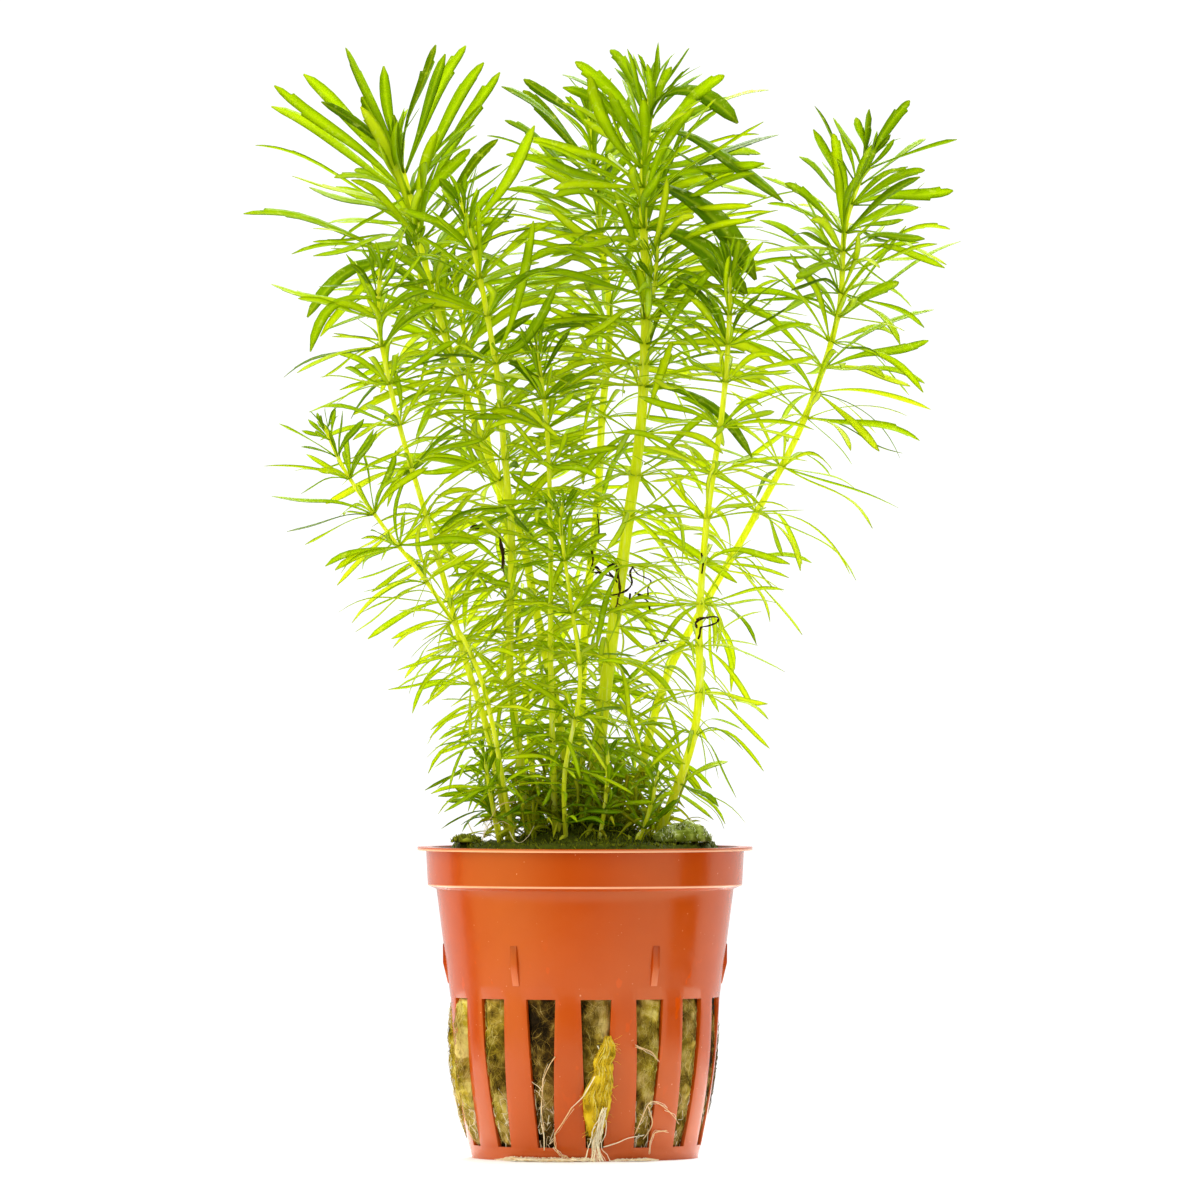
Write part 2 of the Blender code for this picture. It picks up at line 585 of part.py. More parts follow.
def shape_leaf(leaf, turn=0.0, lift=0.0, scale=1.0, shift=0.0):
    """Points of a leaf, turned, lifted, shortened or moved in depth to find free room."""
    angle = leaf['angle'] + math.radians(turn)
    out = math.cos(angle) * leaf['side'] + math.sin(angle) * leaf['forward']
    base_out = math.cos(leaf['angle']) * leaf['side'] + math.sin(leaf['angle']) * leaf['forward']
    base = leaf['centre'] + base_out * leaf['radius'] * 0.95
    curve = leaf_curve(base, out, leaf['along'], leaf['rise'] + lift, leaf['bend'],
                       leaf['length'] * scale)
    if leaf['tip'] is None:
        return curve
    tip = np.array((leaf['tip'][0], curve[2][1] + shift, leaf['tip'][1]))
    flat = math.hypot(tip[0] - base[0], tip[2] - base[2])
    limit = math.sqrt(max((1.12 * max(flat, leaf['length'])) ** 2 - flat ** 2, 1.0))
    tip[1] = base[1] + max(-limit, min(limit, tip[1] - base[1]))
    middle = curve[1] + 0.5 * (tip - curve[2])
    return np.array((base, middle, tip))


def pin_outline(plan):
    """Give the traced outline tips to the leaves whose own tips lie nearest."""
    free = [leaf for leaf in plan['leaves'] if leaf['kept']]
    for x, z in OUTLINE_TIPS.get(plan['name'], ()):
        best = None
        for leaf in free:
            tip = shape_leaf(leaf)[2]
            miss = math.hypot(tip[0] - x, tip[2] - z)
            if best is None or miss < best[0]:
                best = (miss, leaf)
        if best and best[0] < 15.0:
            best[1]['tip'] = (x, z)
            free = [leaf for leaf in free if leaf is not best[1]]


class Room:
    """Space already taken by stems and leaves, as thick line pieces."""

    def __init__(self):
        self.count = 0
        self.start = np.zeros((ROOM_PIECES, 3))
        self.end = np.zeros((ROOM_PIECES, 3))
        self.thick = np.zeros(ROOM_PIECES)
        self.owner = np.zeros(ROOM_PIECES, dtype='U24')
        self.node = np.zeros(ROOM_PIECES, dtype=int)

    def add(self, a, b, thick, owner, node):
        k = self.count
        self.start[k] = a
        self.end[k] = b
        self.thick[k] = thick
        self.owner[k] = owner
        self.node[k] = node
        self.count += 1

    def clear_of(self, points, thick, owner, node):
        """Whether points with a thickness keep their distance from everything."""
        used = slice(0, self.count)
        start = self.start[used]
        along = self.end[used] - start
        size = np.maximum((along * along).sum(axis=1), 1e-9)
        gap = points[:, None, :] - start[None, :, :]
        t = np.clip((gap * along[None]).sum(axis=2) / size[None], 0.0, 1.0)
        away = np.linalg.norm(gap - t[:, :, None] * along[None], axis=2)
        need = thick[:, None] + self.thick[used][None, :] + LEAF_GAP
        own = self.owner[used] == owner
        same_node = own & (self.node[used] == node)
        far_out = np.arange(len(points)) >= len(points) // 3
        hit = (away < need) & ~same_node[None, :]
        hit &= (~own)[None, :] | far_out[:, None]
        return not hit.any()


def leaf_samples(curve):
    """Points along the two straight halves of a leaf."""
    t = np.linspace(0.05, 1.0, 20)[:, None]
    first = curve[0] + (curve[1] - curve[0]) * np.minimum(2 * t, 1.0)
    second = curve[1] + (curve[2] - curve[1]) * np.maximum(2 * t - 1.0, 0.0)
    return np.where(t < 0.5, first, second)


def above_pot(points):
    """Whether a leaf stays clear of the moss and the rim."""
    inside = np.hypot(points[:, 0], points[:, 1]) < RIM_KEEP_OUT
    low = points[:, 2] < LOWEST_LEAF_Z
    if (inside & low)[6:].any():
        return False
    clump_gap = np.linalg.norm(points - np.array(CLUMP_CENTRE), axis=1)
    return not (clump_gap < CLUMP_KEEP_OUT).any()


def place_leaf(leaf, room):
    """Find a free pose for a leaf; a leaf that finds none is left out."""
    if leaf['tip'] is None:
        tries = [dict(turn=a, lift=b, scale=c) for a, b, c in MOVES]
    else:
        tries = [dict(shift=s) for s in SHIFTS]
    for move in tries:
        curve = shape_leaf(leaf, **move)
        if not leaf['bent']:
            curve[1] = 0.5 * (curve[0] + curve[2])
        points = leaf_samples(curve)
        thick = leaf['width'] * np.interp(np.linspace(0.05, 1.0, len(points)),
                                          (0.0, 0.5, 1.0), (0.3, 0.42, 0.12)) + 0.08
        if not above_pot(points):
            continue
        if room.clear_of(points, thick, leaf['shoot'], leaf['node']):
            leaf['curve'] = curve
            width = leaf['width']
            room.add(curve[0], curve[1], 0.38 * width + 0.08, leaf['shoot'], leaf['node'])
            room.add(curve[1], curve[2], 0.28 * width + 0.06, leaf['shoot'], leaf['node'])
            return
    leaf['kept'] = False


def plan_plant():
    """Plan every shoot, then place the outline leaves first and the rest after them."""
    rng = random.Random(SEED)
    plans = []
    room = Room()
    for name, data in list(SHOOTS.items()) + list(SHORT_SHOOTS.items()):
        plan = plan_shoot(name, data, rng)
        pin_outline(plan)
        plans.append(plan)
        stops = np.linspace(0.0, plan['stem'].length, 26)
        for a, b in zip(stops[:-1], stops[1:]):
            room.add(plan['stem'].at(a), plan['stem'].at(b),
                     stem_radius(data, plan['stem'], a) + 0.05, name, -1)
    for name, (line, radius, *_) in FREE_STRANDS.items():
        for a, b in zip(line[:-1], line[1:]):
            room.add(np.array(a), np.array(b), radius, name, -1)
    leaves = [leaf for plan in plans for leaf in plan['leaves'] if leaf['kept']]
    leaves.sort(key=lambda leaf: leaf['tip'] is None)
    for leaf in leaves:
        place_leaf(leaf, room)
    return plans


def ring(plan, s, radius, phase):
    centre, side, forward, _ = plan['stem'].frame(s)
    count = plan['data']['leaves']
    out = []
    for i in range(count):
        angle = math.radians(phase + i * 360.0 / count)
        out.append(centre + radius * (math.cos(angle) * side + math.sin(angle) * forward))
    return out


def add_leaf(points, faces, quad, leaf):
    """Grow one leaf from the four corners of its place on the stem."""
    a0, a1, b1, b0 = quad
    curve = leaf['curve']
    tip = len(points)
    points.append(curve[2])
    if not leaf['bent']:
        faces += [[a0, a1, tip], [a1, b1, tip], [b1, b0, tip], [b0, a0, tip]]
        return
    run = curve[2] - curve[0]
    run /= np.linalg.norm(run)
    across = np.cross(leaf['along'], run)
    across /= max(np.linalg.norm(across), 1e-6)
    below = np.cross(across, run)
    if below @ leaf['along'] > 0.0:
        below = -below
    half = 0.5 * leaf['width']
    towards = np.array(points[a1]) - np.array(points[a0])
    if across @ towards < 0.0:
        across = -across
    left = tip + 1
    points.extend((curve[1] - across * half, curve[1] + across * half, curve[1] + below * 0.3))
    right = left + 1
    keel = left + 2
    faces += [[b0, b1, right, left], [a0, b0, left], [a0, left, keel], [b1, a1, right],
              [a1, keel, right], [a1, a0, keel], [left, right, tip], [right, keel, tip],
              [keel, left, tip]]


def build_shoot(plan):
    """One closed body of a stem with the leaves that grow from it."""
    count = plan['data']['leaves']
    stem = plan['stem']
    nodes = sorted(plan['nodes'], key=lambda node: node['s'])
    order = {id(node): k for k, node in enumerate(plan['nodes'])}
    by_place = {(leaf['node'], leaf['slot']): leaf for leaf in plan['leaves']}
    points = list(ring(plan, 0.0, plan['data']['radii'][0], nodes[0]['phase'] + 180.0 / count))
    foot_z = plan['data']['route'][0][2]
    if plan['name'] in SHOOTS or plan['name'].startswith('base'):
        for p in points:
            p[2] = foot_z
    faces = [list(range(count))[::-1]]
    previous = 0
    turn = 1
    for node in nodes:
        band = 0.5 if node['radius'] > 0.5 else 0.36
        low = len(points)
        points += ring(plan, node['s'] - 0.5 * band, node['radius'] * 1.08, node['phase'])
        points += ring(plan, node['s'] + 0.5 * band, node['radius'] * 1.08, node['phase'])
        join_rings(faces, previous, low, count, turn)
        for i in range(count):
            j = (i + 1) % count
            quad = (low + i, low + j, low + count + j, low + count + i)
            leaf = by_place[(order[id(node)], i)]
            if leaf['kept']:
                add_leaf(points, faces, quad, leaf)
            else:
                faces.append(list(quad))
        previous = low + count
    apex = len(points)
    points.append(stem.at(stem.length))
    for i in range(count):
        faces.append([previous + i, previous + (i + 1) % count, apex])
    name = 'shoot_' + plan['name']
    return make_object(name, [tuple(float(c) for c in p) for p in points], faces,
                       COLOURS['shoot'], 0.45)


def join_rings(faces, low, high, count, turn):
    """Join two rings that are turned against each other by half a leaf pitch."""
    for i in range(count):
        j = (i + 1) % count
        h = (i - turn) % count
        faces.append([low + i, low + j, high + i])
        faces.append([low + i, high + i, high + h])


def tube(name, points, radius, colour, sides=3, taper=0.6):
    """Thin tapered strand along a line of points, closed at both ends."""
    path = [Vector(p) for p in points]
    rings = []
    for i, p in enumerate(path):
        ahead = path[min(i + 1, len(path) - 1)] - path[max(i - 1, 0)]
        ahead.normalize()
        side = ahead.cross(Vector((0.3, 1.0, 0.2))).normalized()
        up = side.cross(ahead)
        r = radius * (1.0 - (1.0 - taper) * i / (len(path) - 1))
        rings.append([tuple(p + r * (math.cos(a) * side + math.sin(a) * up))
                      for a in (2 * math.pi * k / sides for k in range(sides))])
    return make_object(name, *loft(rings), colour, 0.7)


def on_wall(x, z, stand_off):
    """Point in front of the pot wall at a given x and z."""
    radius = wall_radius(max(z, SLOT_FOOT_Z)) + stand_off
    return (x, -math.sqrt(radius * radius - x * x), z)


def wall_strand(name, line, stand_off, radius):
    return tube(name, [on_wall(x, z, stand_off) for x, z in line], radius, COLOURS['root'])


def build_roots():
    wall_strand('root_rib_loop', RIB_LOOP, 0.75, 0.16)
    wall_strand('root_left_strand', LEFT_STRAND, 0.7, 0.14)
    wall_strand('root_right_loop', RIGHT_LOOP, 0.75, 0.16)
    wall_strand('root_right_arc', RIGHT_ARC, 0.75, 0.15)
    wall_strand('root_upper_strand', UPPER_STRAND, 0.7, 0.14)


def slab(name, stations, colour):
    """Soft flat body lofted through rings given as centre, half width, half depth."""
    rings = []
    for x, y, z, half_x, half_y in stations:
        rings.append([(x + half_x * math.cos(a), y + half_y * math.sin(a), z)
                      for a in (2 * math.pi * k / 6 for k in range(6))])
    return make_object(name, *loft(rings), colour, 0.8)


def build_root_tuft():
    """Tuft that leaves the front slot, falls down the wall and spreads on the floor."""
    def front(x, off, z):
        return on_wall(x, z, off)[1]

    stations = ((1.7, front(1.7, 2.0, FLOOR_LIFT), FLOOR_LIFT, 2.0, 1.1),
                (1.6, front(1.6, 1.6, 1.4), 1.4, 1.2, 0.7),
                (1.9, front(1.9, 1.6, 3.4), 3.4, 0.6, 0.4),
                (2.6, front(2.6, 3.3, 6.6), 6.6, 0.35, 0.25),
                (3.2, front(3.2, 4.0, 8.8), 8.8, 0.3, 0.25))
    return slab('root_tuft', stations, COLOURS['root'])


def build_wool_tuft():
    """Torn yellow tuft of wool that hangs over the front slot and its rib."""
    def front(x, off, z):
        return on_wall(x, z, off)[1]

    stations = ((1.5, front(1.5, 1.1, 4.9), 4.9, 0.4, 0.4),
                (1.6, front(1.6, 1.4, 7.0), 7.0, 1.2, 0.8),
                (2.1, front(2.1, 1.8, 10.0), 10.0, 1.9, 1.2),
                (2.7, front(2.7, 1.9, 13.2), 13.2, 1.7, 1.2),
                (3.5, front(3.5, 1.8, 17.0), 17.0, 1.4, 1.1),
                (3.8, front(3.8, 1.4, 19.6), 19.6, 1.1, 0.8),
                (4.0, front(4.0, 1.2, 20.6), 20.6, 0.4, 0.4))
    return slab('wool_tuft', stations, COLOURS['yellow_wool'])


def floor_mat(name, span, width, height, seed):
    """Thin fibrous film on the floor that follows the foot of the pot."""
    rng = random.Random(seed)
    near = BASE_RADIUS + 0.6
    rings = []
    for azimuth in np.linspace(span[0], span[1], 7):
        middle = 1.0 - abs(2.0 * (azimuth - span[0]) / (span[1] - span[0]) - 1.0) ** 3
        reach = near + 0.6 + width * middle * rng.uniform(0.8, 1.05)
        rings.append([polar(near, azimuth, FLOOR_LIFT),
                      polar(reach, azimuth, FLOOR_LIFT),
                      polar(near + 0.5 * (reach - near), azimuth,
                            FLOOR_LIFT + height * (0.3 + 0.7 * middle)),
                      polar(near, azimuth, FLOOR_LIFT + 0.9 * height * (0.3 + 0.7 * middle))])
    return make_object(name, *loft(rings), COLOURS['root'], 0.8)


def build_root_mats():
    floor_mat('root_mat', (-41.0, 2.0), 4.6, 0.8, 4)
    floor_mat('root_fringe', (17.0, 32.0), 2.2, 0.5, 5)


def build_strands():
    """Curled air root and the dried leaf remnants that cling to the stems."""
    for name, (line, radius, colour, sides, taper) in FREE_STRANDS.items():
        tube(name, line, radius, COLOURS[colour], sides, taper)


def build_all():
    clear_scene()
    build_pot()
    build_plug()
    build_crust()
    clump('moss_clump_right', (16.2, -8.4), (4.6, 4.2, 3.2), 52.5, COLOURS['pale_moss'], 7)
    clump('moss_clump_left', (-19.6, -6.6), (2.7, 3.2, 1.0), 52.5, COLOURS['moss'], 8)
    build_wool_tuft()
    build_roots()
    build_root_tuft()
    build_root_mats()
    build_strands()
    for plan in plan_plant():
        build_shoot(plan)


build_all()
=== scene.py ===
"""Looks of the potted Pogostemon deccanensis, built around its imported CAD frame.

The pot stands on the floor with its base centre at the origin and its axis along +Z.
The front of the plant faces -Y. Lengths below are millimetres unless a name says otherwise.
"""

import math
import random

import bmesh
import bpy
import numpy as np
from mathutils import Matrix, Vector


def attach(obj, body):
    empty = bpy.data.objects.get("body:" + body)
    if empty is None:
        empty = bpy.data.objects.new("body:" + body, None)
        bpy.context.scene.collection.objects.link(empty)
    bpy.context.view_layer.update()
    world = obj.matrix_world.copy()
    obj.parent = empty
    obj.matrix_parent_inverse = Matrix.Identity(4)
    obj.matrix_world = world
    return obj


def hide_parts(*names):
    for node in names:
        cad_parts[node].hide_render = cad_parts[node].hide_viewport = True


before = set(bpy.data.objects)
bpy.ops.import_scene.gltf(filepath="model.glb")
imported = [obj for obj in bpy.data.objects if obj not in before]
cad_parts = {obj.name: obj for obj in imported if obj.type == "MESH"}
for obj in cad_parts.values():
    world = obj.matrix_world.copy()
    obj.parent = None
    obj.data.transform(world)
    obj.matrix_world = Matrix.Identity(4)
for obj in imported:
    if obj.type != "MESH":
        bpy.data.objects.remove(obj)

MM = 0.001
SEED = 23

# Pot: slots are numbered by their azimuth, measured from the front towards +X
SLOT_COUNT = 15
SLOT_PITCH = 360.0 / SLOT_COUNT
SLOT_PHASE = 4.8
SLOT_TOP_Z = 26.4
SLOT_FOOT_Z = 2.2
SLOT_TOP_HALF_ANGLE = 6.6
SLOT_FOOT_HALF_ANGLE = 4.35
FLANGE_RADIUS = 27.5
FLANGE_THICKNESS = 0.55
RIM_Z = 51.0
COLLAR_TOP_RADIUS = 26.1
COLLAR_FOOT_RADIUS = 25.8
COLLAR_FOOT_Z = 44.7
WALL_TOP_RADIUS = 24.4
WALL_TOP_Z = 44.1
WALL_SLOT_RADIUS = 22.1
WALL_FOOT_RADIUS = 19.2
WALL_THICKNESS = 0.8
BASE_RADIUS = 18.55
BASE_THICKNESS = 1.0
BASE_OPENING_OUTER = 15.0
BASE_OPENING_INNER = 6.5
BASE_OPENING_EVERY = 3
SLOT_ROW = 4
BASE_ROW = 7
FLOOR_LIFT = 0.02
LUG_AZIMUTHS = (30.0, 90.0, 150.0, 210.0, 270.0, 330.0)
LUG_WIDTH = 1.15
LUG_TOP_Z = 35.1
LUG_MIDDLE_Z = 32.0
LUG_FOOT_Z = 28.6
LUG_PROUD = 0.5
LUG_ROOT = 0.3
LUG_EDGE = 0.12

# Wool plug: outward bulge of each slot past the outer face of the wall
PLUG_TOP_Z = 46.9
PLUG_FOOT_Z = 2.25
SLOT_BULGE = (-0.7, -0.4, -0.4, -0.7, 0.2, -0.6, 0.3, -0.9, -0.5, 0.4, -0.8, 0.9, 0.6, 0.1, -1.0)

# Moss crust over the plug
CRUST_FOOT_Z = 47.25
CRUST_FLAT_Z = 51.0
CRUST_RIM_RADIUS = 24.5

# Leaves: rules along the stem by distance from the growing tip
TIP_DISTANCE = (0.0, 3.0, 8.0, 16.0, 30.0, 60.0, 90.0, 125.0)
CHORD_RISE = (72.0, 52.0, 36.0, 24.0, 11.0, -1.0, -17.0, -32.0)
CHORD_BEND = (5.0, 8.0, 11.0, 13.0, 15.0, 18.0, 26.0, 34.0)
RISE_SPREAD = 13.0
WHORL_TILT = (4.0, 15.0)
LENGTH_SHARE = (0.28, 0.5, 0.8, 1.0, 1.04, 0.98, 0.82, 0.68)
WIDTH_SHARE = (0.6, 0.9, 1.15, 1.1, 0.9, 0.68, 0.55, 0.55)
STOUT_CROWN = (1.0, 2.8, 5.4, 9.0, 13.8, 20.0)
SLIM_CROWN = (0.8, 2.6, 5.6, 9.8)
LEAF_GAP = 0.2
ROOM_PIECES = 9000
STEM_PIECES = 25
STEM_SPARE = 0.05
LEAF_STATIONS = 20
PIN_REACH = 15.0
STEEPEST = 84.0
LONGEST = 1.12
BENT_SIZE = 36.0
LOWEST_LEAF_Z = 53.6
LOW_SHARE = 0.45
STOUT_LEAF = 12.0
RIM_KEEP_OUT = 29.5
CLUMP_CENTRE = (16.0, -9.0, 51.5)
CLUMP_KEEP_OUT = 6.2
MOVES = ((0, 0, 1.0), (7, 0, 1.0), (-7, 0, 1.0), (0, 8, 1.0), (0, -8, 1.0), (12, 6, 1.0),
         (-12, -6, 1.0), (14, -8, 0.95), (-14, 8, 0.95), (0, 14, 0.9), (8, 16, 0.8),
         (-8, -12, 0.8), (0, 20, 0.75), (0, 4, 0.6))
SHIFTS = (0.0, 1.5, -1.5, 3.0, -3.0, 4.5, -4.5, 6.0, -6.0)

# Each shoot: route points, foot and tip radius, leaves a whorl, node spacing,
# leaf length and width, share of the lower leaves that is lost
SHOOTS = {
    'tall_left': dict(
        route=((-1.1, 5.0, 51.4), (-4.9, 5.8, 75.0), (-8.2, 6.6, 90.3), (-10.8, 7.3, 102.8),
               (-17.6, 9.0, 119.4), (-24.5, 10.6, 139.7), (-28.6, 11.6, 157.0),
               (-31.7, 12.0, 167.0)),
        radii=(0.82, 0.5), leaves=7, spacing=7.6, leaf=(19.0, 1.5), lost=0.5),
    'inner_left': dict(
        route=((-8.7, -3.0, 51.4), (-12.0, -4.6, 76.0), (-12.3, -5.6, 87.7), (-12.0, -6.6, 101.8),
               (-13.3, -7.8, 116.7), (-14.4, -8.8, 128.7), (-17.4, -9.6, 145.3),
               (-20.4, -10.0, 157.5)),
        radii=(0.75, 0.42), leaves=6, spacing=7.6, leaf=(14.5, 1.15), lost=0.4),
    'left': dict(
        route=((-12.3, -2.5, 51.4), (-15.8, -4.4, 69.3), (-19.4, -5.6, 81.0), (-22.8, -6.8, 93.8),
               (-26.8, -8.2, 107.9), (-30.7, -9.6, 121.5), (-33.7, -11.0, 136.6),
               (-33.3, -12.0, 146.6)),
        radii=(0.58, 0.36), leaves=6, spacing=7.4, leaf=(13.5, 1.0), lost=0.25),
    'low_left': dict(
        route=((-11.5, -10.0, 51.4), (-16.7, -13.6, 77.7), (-23.8, -16.2, 91.5),
               (-32.7, -18.8, 103.3), (-38.9, -20.4, 112.3), (-42.5, -22.0, 120.0)),
        radii=(0.42, 0.3), leaves=6, spacing=7.2, leaf=(11.5, 0.85), lost=0.3),
    'middle': dict(
        route=((-4.8, -8.0, 51.4), (-5.6, -9.6, 81.0), (-5.6, -10.8, 101.1), (-6.2, -12.2, 119.2),
               (-7.9, -13.5, 133.3)),
        radii=(0.52, 0.34), leaves=6, spacing=7.4, leaf=(12.5, 0.95), lost=0.35),
    'centre': dict(
        route=((0.5, 0.0, 51.4), (3.1, -0.6, 75.0), (6.7, -1.0, 101.8), (9.2, -1.4, 120.7),
               (10.0, -1.8, 141.7), (9.5, -2.0, 158.8), (11.0, -2.0, 176.0)),
        radii=(1.25, 0.62), leaves=7, spacing=7.6, leaf=(19.5, 1.5), lost=0.45),
    'back': dict(
        route=((-1.6, 11.5, 51.4), (0.0, 13.4, 87.0), (2.0, 14.8, 106.9), (2.8, 16.0, 121.8),
               (4.1, 17.6, 138.1), (2.5, 19.0, 152.0), (0.8, 20.0, 172.2)),
        radii=(0.82, 0.5), leaves=6, spacing=7.6, leaf=(17.0, 1.4), lost=0.4),
    'right': dict(
        route=((11.5, -4.5, 51.4), (17.1, -7.0, 66.7), (18.7, -8.2, 76.7), (18.7, -9.4, 88.2),
               (19.9, -11.0, 104.4), (22.5, -13.0, 123.0), (23.6, -14.6, 138.3),
               (23.3, -15.6, 147.0)),
        radii=(0.75, 0.4), leaves=6, spacing=7.6, leaf=(14.0, 1.0), lost=0.2),
    'far_right': dict(
        route=((6.6, 7.0, 51.4), (12.8, 8.6, 77.0), (20.4, 9.8, 92.0), (27.6, 10.8, 104.6),
               (35.8, 12.2, 120.5), (41.7, 13.2, 138.3), (43.0, 13.8, 153.4),
               (47.0, 14.0, 165.3)),
        radii=(0.72, 0.44), leaves=6, spacing=8.4, leaf=(16.5, 1.3), lost=0.35),
    'front': dict(
        route=((-3.1, -12.6, 51.4), (-3.3, -13.6, 63.2), (-0.8, -15.2, 77.7),
               (-2.3, -16.8, 91.1), (-3.9, -18.2, 103.0), (-3.6, -18.8, 107.6)),
        radii=(0.4, 0.28), leaves=6, spacing=8.6, leaf=(11.0, 0.8), lost=0.1),
    'back_left': dict(
        route=((-7.6, 9.5, 51.4), (-11.5, 14.6, 91.5), (-16.3, 18.2, 119.4), (-19.2, 19.8, 131.9),
               (-22.0, 21.2, 146.0)),
        radii=(0.55, 0.36), leaves=6, spacing=7.8, leaf=(14.0, 1.1), lost=0.35),
    # Short shoots beside the main ones
    'side_upper_left': dict(
        route=((-27.0, 9.4, 143.6), (-27.6, 6.0, 147.6), (-27.9, 4.6, 152.4)),
        radii=(0.34, 0.28), leaves=5, spacing=4.6, leaf=(8.0, 0.9), lost=0.0),
    'side_centre': dict(
        route=((10.2, -3.2, 138.6), (11.4, -6.4, 143.0), (11.9, -7.4, 149.4)),
        radii=(0.36, 0.28), leaves=5, spacing=4.8, leaf=(9.0, 1.0), lost=0.0),
    'base_front_left': dict(
        route=((-14.0, -7.0, 51.4), (-15.2, -9.0, 58.0), (-16.4, -10.4, 65.5)),
        radii=(0.36, 0.28), leaves=5, spacing=4.6, leaf=(8.5, 0.8), lost=0.0),
    'base_front': dict(
        route=((2.2, -11.4, 51.4), (3.4, -13.0, 59.0), (3.8, -13.8, 67.0)),
        radii=(0.36, 0.28), leaves=5, spacing=4.6, leaf=(9.0, 0.95), lost=0.0),
    'base_front_right': dict(
        route=((8.6, -9.4, 51.4), (10.8, -11.6, 58.0), (12.0, -12.8, 63.5)),
        radii=(0.36, 0.28), leaves=5, spacing=4.4, leaf=(9.0, 1.1), lost=0.0),
    'base_back': dict(
        route=((5.4, 13.0, 51.4), (7.6, 15.2, 60.0), (8.6, 16.4, 69.0)),
        radii=(0.36, 0.28), leaves=5, spacing=4.8, leaf=(9.0, 0.9), lost=0.0),
    'base_back_left': dict(
        route=((-13.6, 5.4, 51.4), (-15.6, 7.4, 60.0), (-17.0, 8.4, 68.0)),
        radii=(0.36, 0.28), leaves=5, spacing=4.8, leaf=(9.0, 0.9), lost=0.0),
}

# Leaf tips of the outline, as seen from the front: x and z
OUTLINE_TIPS = {
    'tall_left': (
        (-39.4, 182.3), (-46.5, 178.3), (-51.2, 176.2), (-51.9, 173.1), (-54.4, 166.5),
        (-56.2, 155.0), (-48.1, 161.1), (-24.6, 183.1), (-23.0, 181.4), (-19.7, 183.1),
        (-16.6, 179.8), (-14.1, 178.8), (-16.9, 173.4), (-18.9, 165.7), (-33.2, 179.5),
        (-45.8, 138.1), (-43.5, 173.6), (-36.9, 174.4)),
    'centre': (
        (12.0, 182.8), (4.1, 181.8), (17.1, 181.9), (-1.6, 179.5), (-3.8, 177.8), (0.8, 177.3),
        (3.9, 174.7), (30.2, 175.2), (22.8, 177.3), (25.0, 169.5), (28.9, 165.0), (25.0, 162.2),
        (32.5, 156.6), (29.2, 169.6), (31.9, 168.1), (37.1, 164.2), (28.1, 143.7), (26.3, 141.5),
        (34.8, 158.8), (37.8, 152.0)),
    'back': (
        (-10.2, 177.8), (-10.3, 176.0), (-13.8, 176.2), (-13.3, 170.8), (-16.3, 168.6),
        (18.9, 171.9)),
    'far_right': (
        (37.8, 172.9), (40.9, 171.1), (44.7, 171.1), (46.8, 172.4), (53.7, 174.1),
        (56.3, 167.8), (61.4, 167.5), (55.2, 161.2), (60.8, 159.1), (55.2, 156.5), (60.3, 152.7),
        (62.2, 150.9), (48.3, 146.0), (51.7, 143.8), (61.6, 143.3), (29.1, 150.6), (34.6, 144.7),
        (57.8, 139.6), (55.0, 117.7), (52.5, 115.8), (51.7, 106.7), (44.8, 94.7), (35.8, 85.7)),
    'right': (
        (29.9, 74.5), (25.8, 67.0), (23.5, 64.9), (21.8, 57.8), (25.8, 74.7)),
    'low_left': (
        (-52.2, 113.3), (-51.1, 108.4), (-48.4, 102.6), (-49.8, 120.2), (-44.8, 122.3),
        (-39.4, 122.3), (-36.0, 121.0)),
    'left': (
        (-32.3, 76.8), (-35.6, 85.1), (-38.3, 87.7), (-40.2, 89.5), (-40.6, 93.9),
        (-49.3, 127.9), (-46.8, 140.7), (-51.4, 143.2)),
    'inner_left': (
        (-23.6, 66.2), (-20.9, 60.3), (-18.4, 56.8), (-8.2, 169.1), (-23.8, 160.4),
        (-17.6, 162.9)),
}

# Roots, seen from the front: x and z of each point
RIB_LOOP = ((-2.1, 8.9), (-3.6, 6.4), (-4.9, 4.4), (-4.9, 2.6),
            (-3.9, 1.1), (-2.8, 0.8))
LEFT_STRAND = ((-4.9, 17.2), (-5.7, 15.9), (-6.7, 13.6), (-6.9, 11.5), (-7.0, 7.9), (-6.6, 5.0))
RIGHT_LOOP = ((8.2, 4.6), (9.5, 7.6), (10.4, 9.4), (11.7, 9.6), (13.3, 8.5), (14.6, 7.1),
              (15.4, 5.9))
RIGHT_ARC = ((13.3, 4.9), (11.5, 4.6), (10.7, 3.1), (10.5, 1.1))
UPPER_STRAND = ((8.4, 18.9), (10.7, 17.9), (12.0, 16.4))

# Strands that hang free: line, radius and slot
FREE_STRANDS = {
    'root_curled': (((-11.4, -13.4, 58.6), (-13.6, -14.6, 58.2), (-15.4, -15.0, 56.0),
                     (-16.4, -15.4, 53.6), (-16.0, -15.8, 52.6)), 0.16, 'root'),
    'dried_centre': (((4.9, -2.95, 97.4), (5.7, -2.8, 94.5), (5.4, -2.65, 91.5),
                      (5.0, -2.5, 89.5)), 0.55, 'dried'),
    'dried_left': (((-13.3, -6.95, 100.0), (-13.3, -6.85, 97.8), (-13.35, -6.75, 95.4)),
                   0.3, 'dried'),
    'dried_right': (((18.2, -10.6, 88.3), (19.4, -10.75, 88.7), (20.6, -10.9, 88.2)),
                    0.2, 'dried'),
}

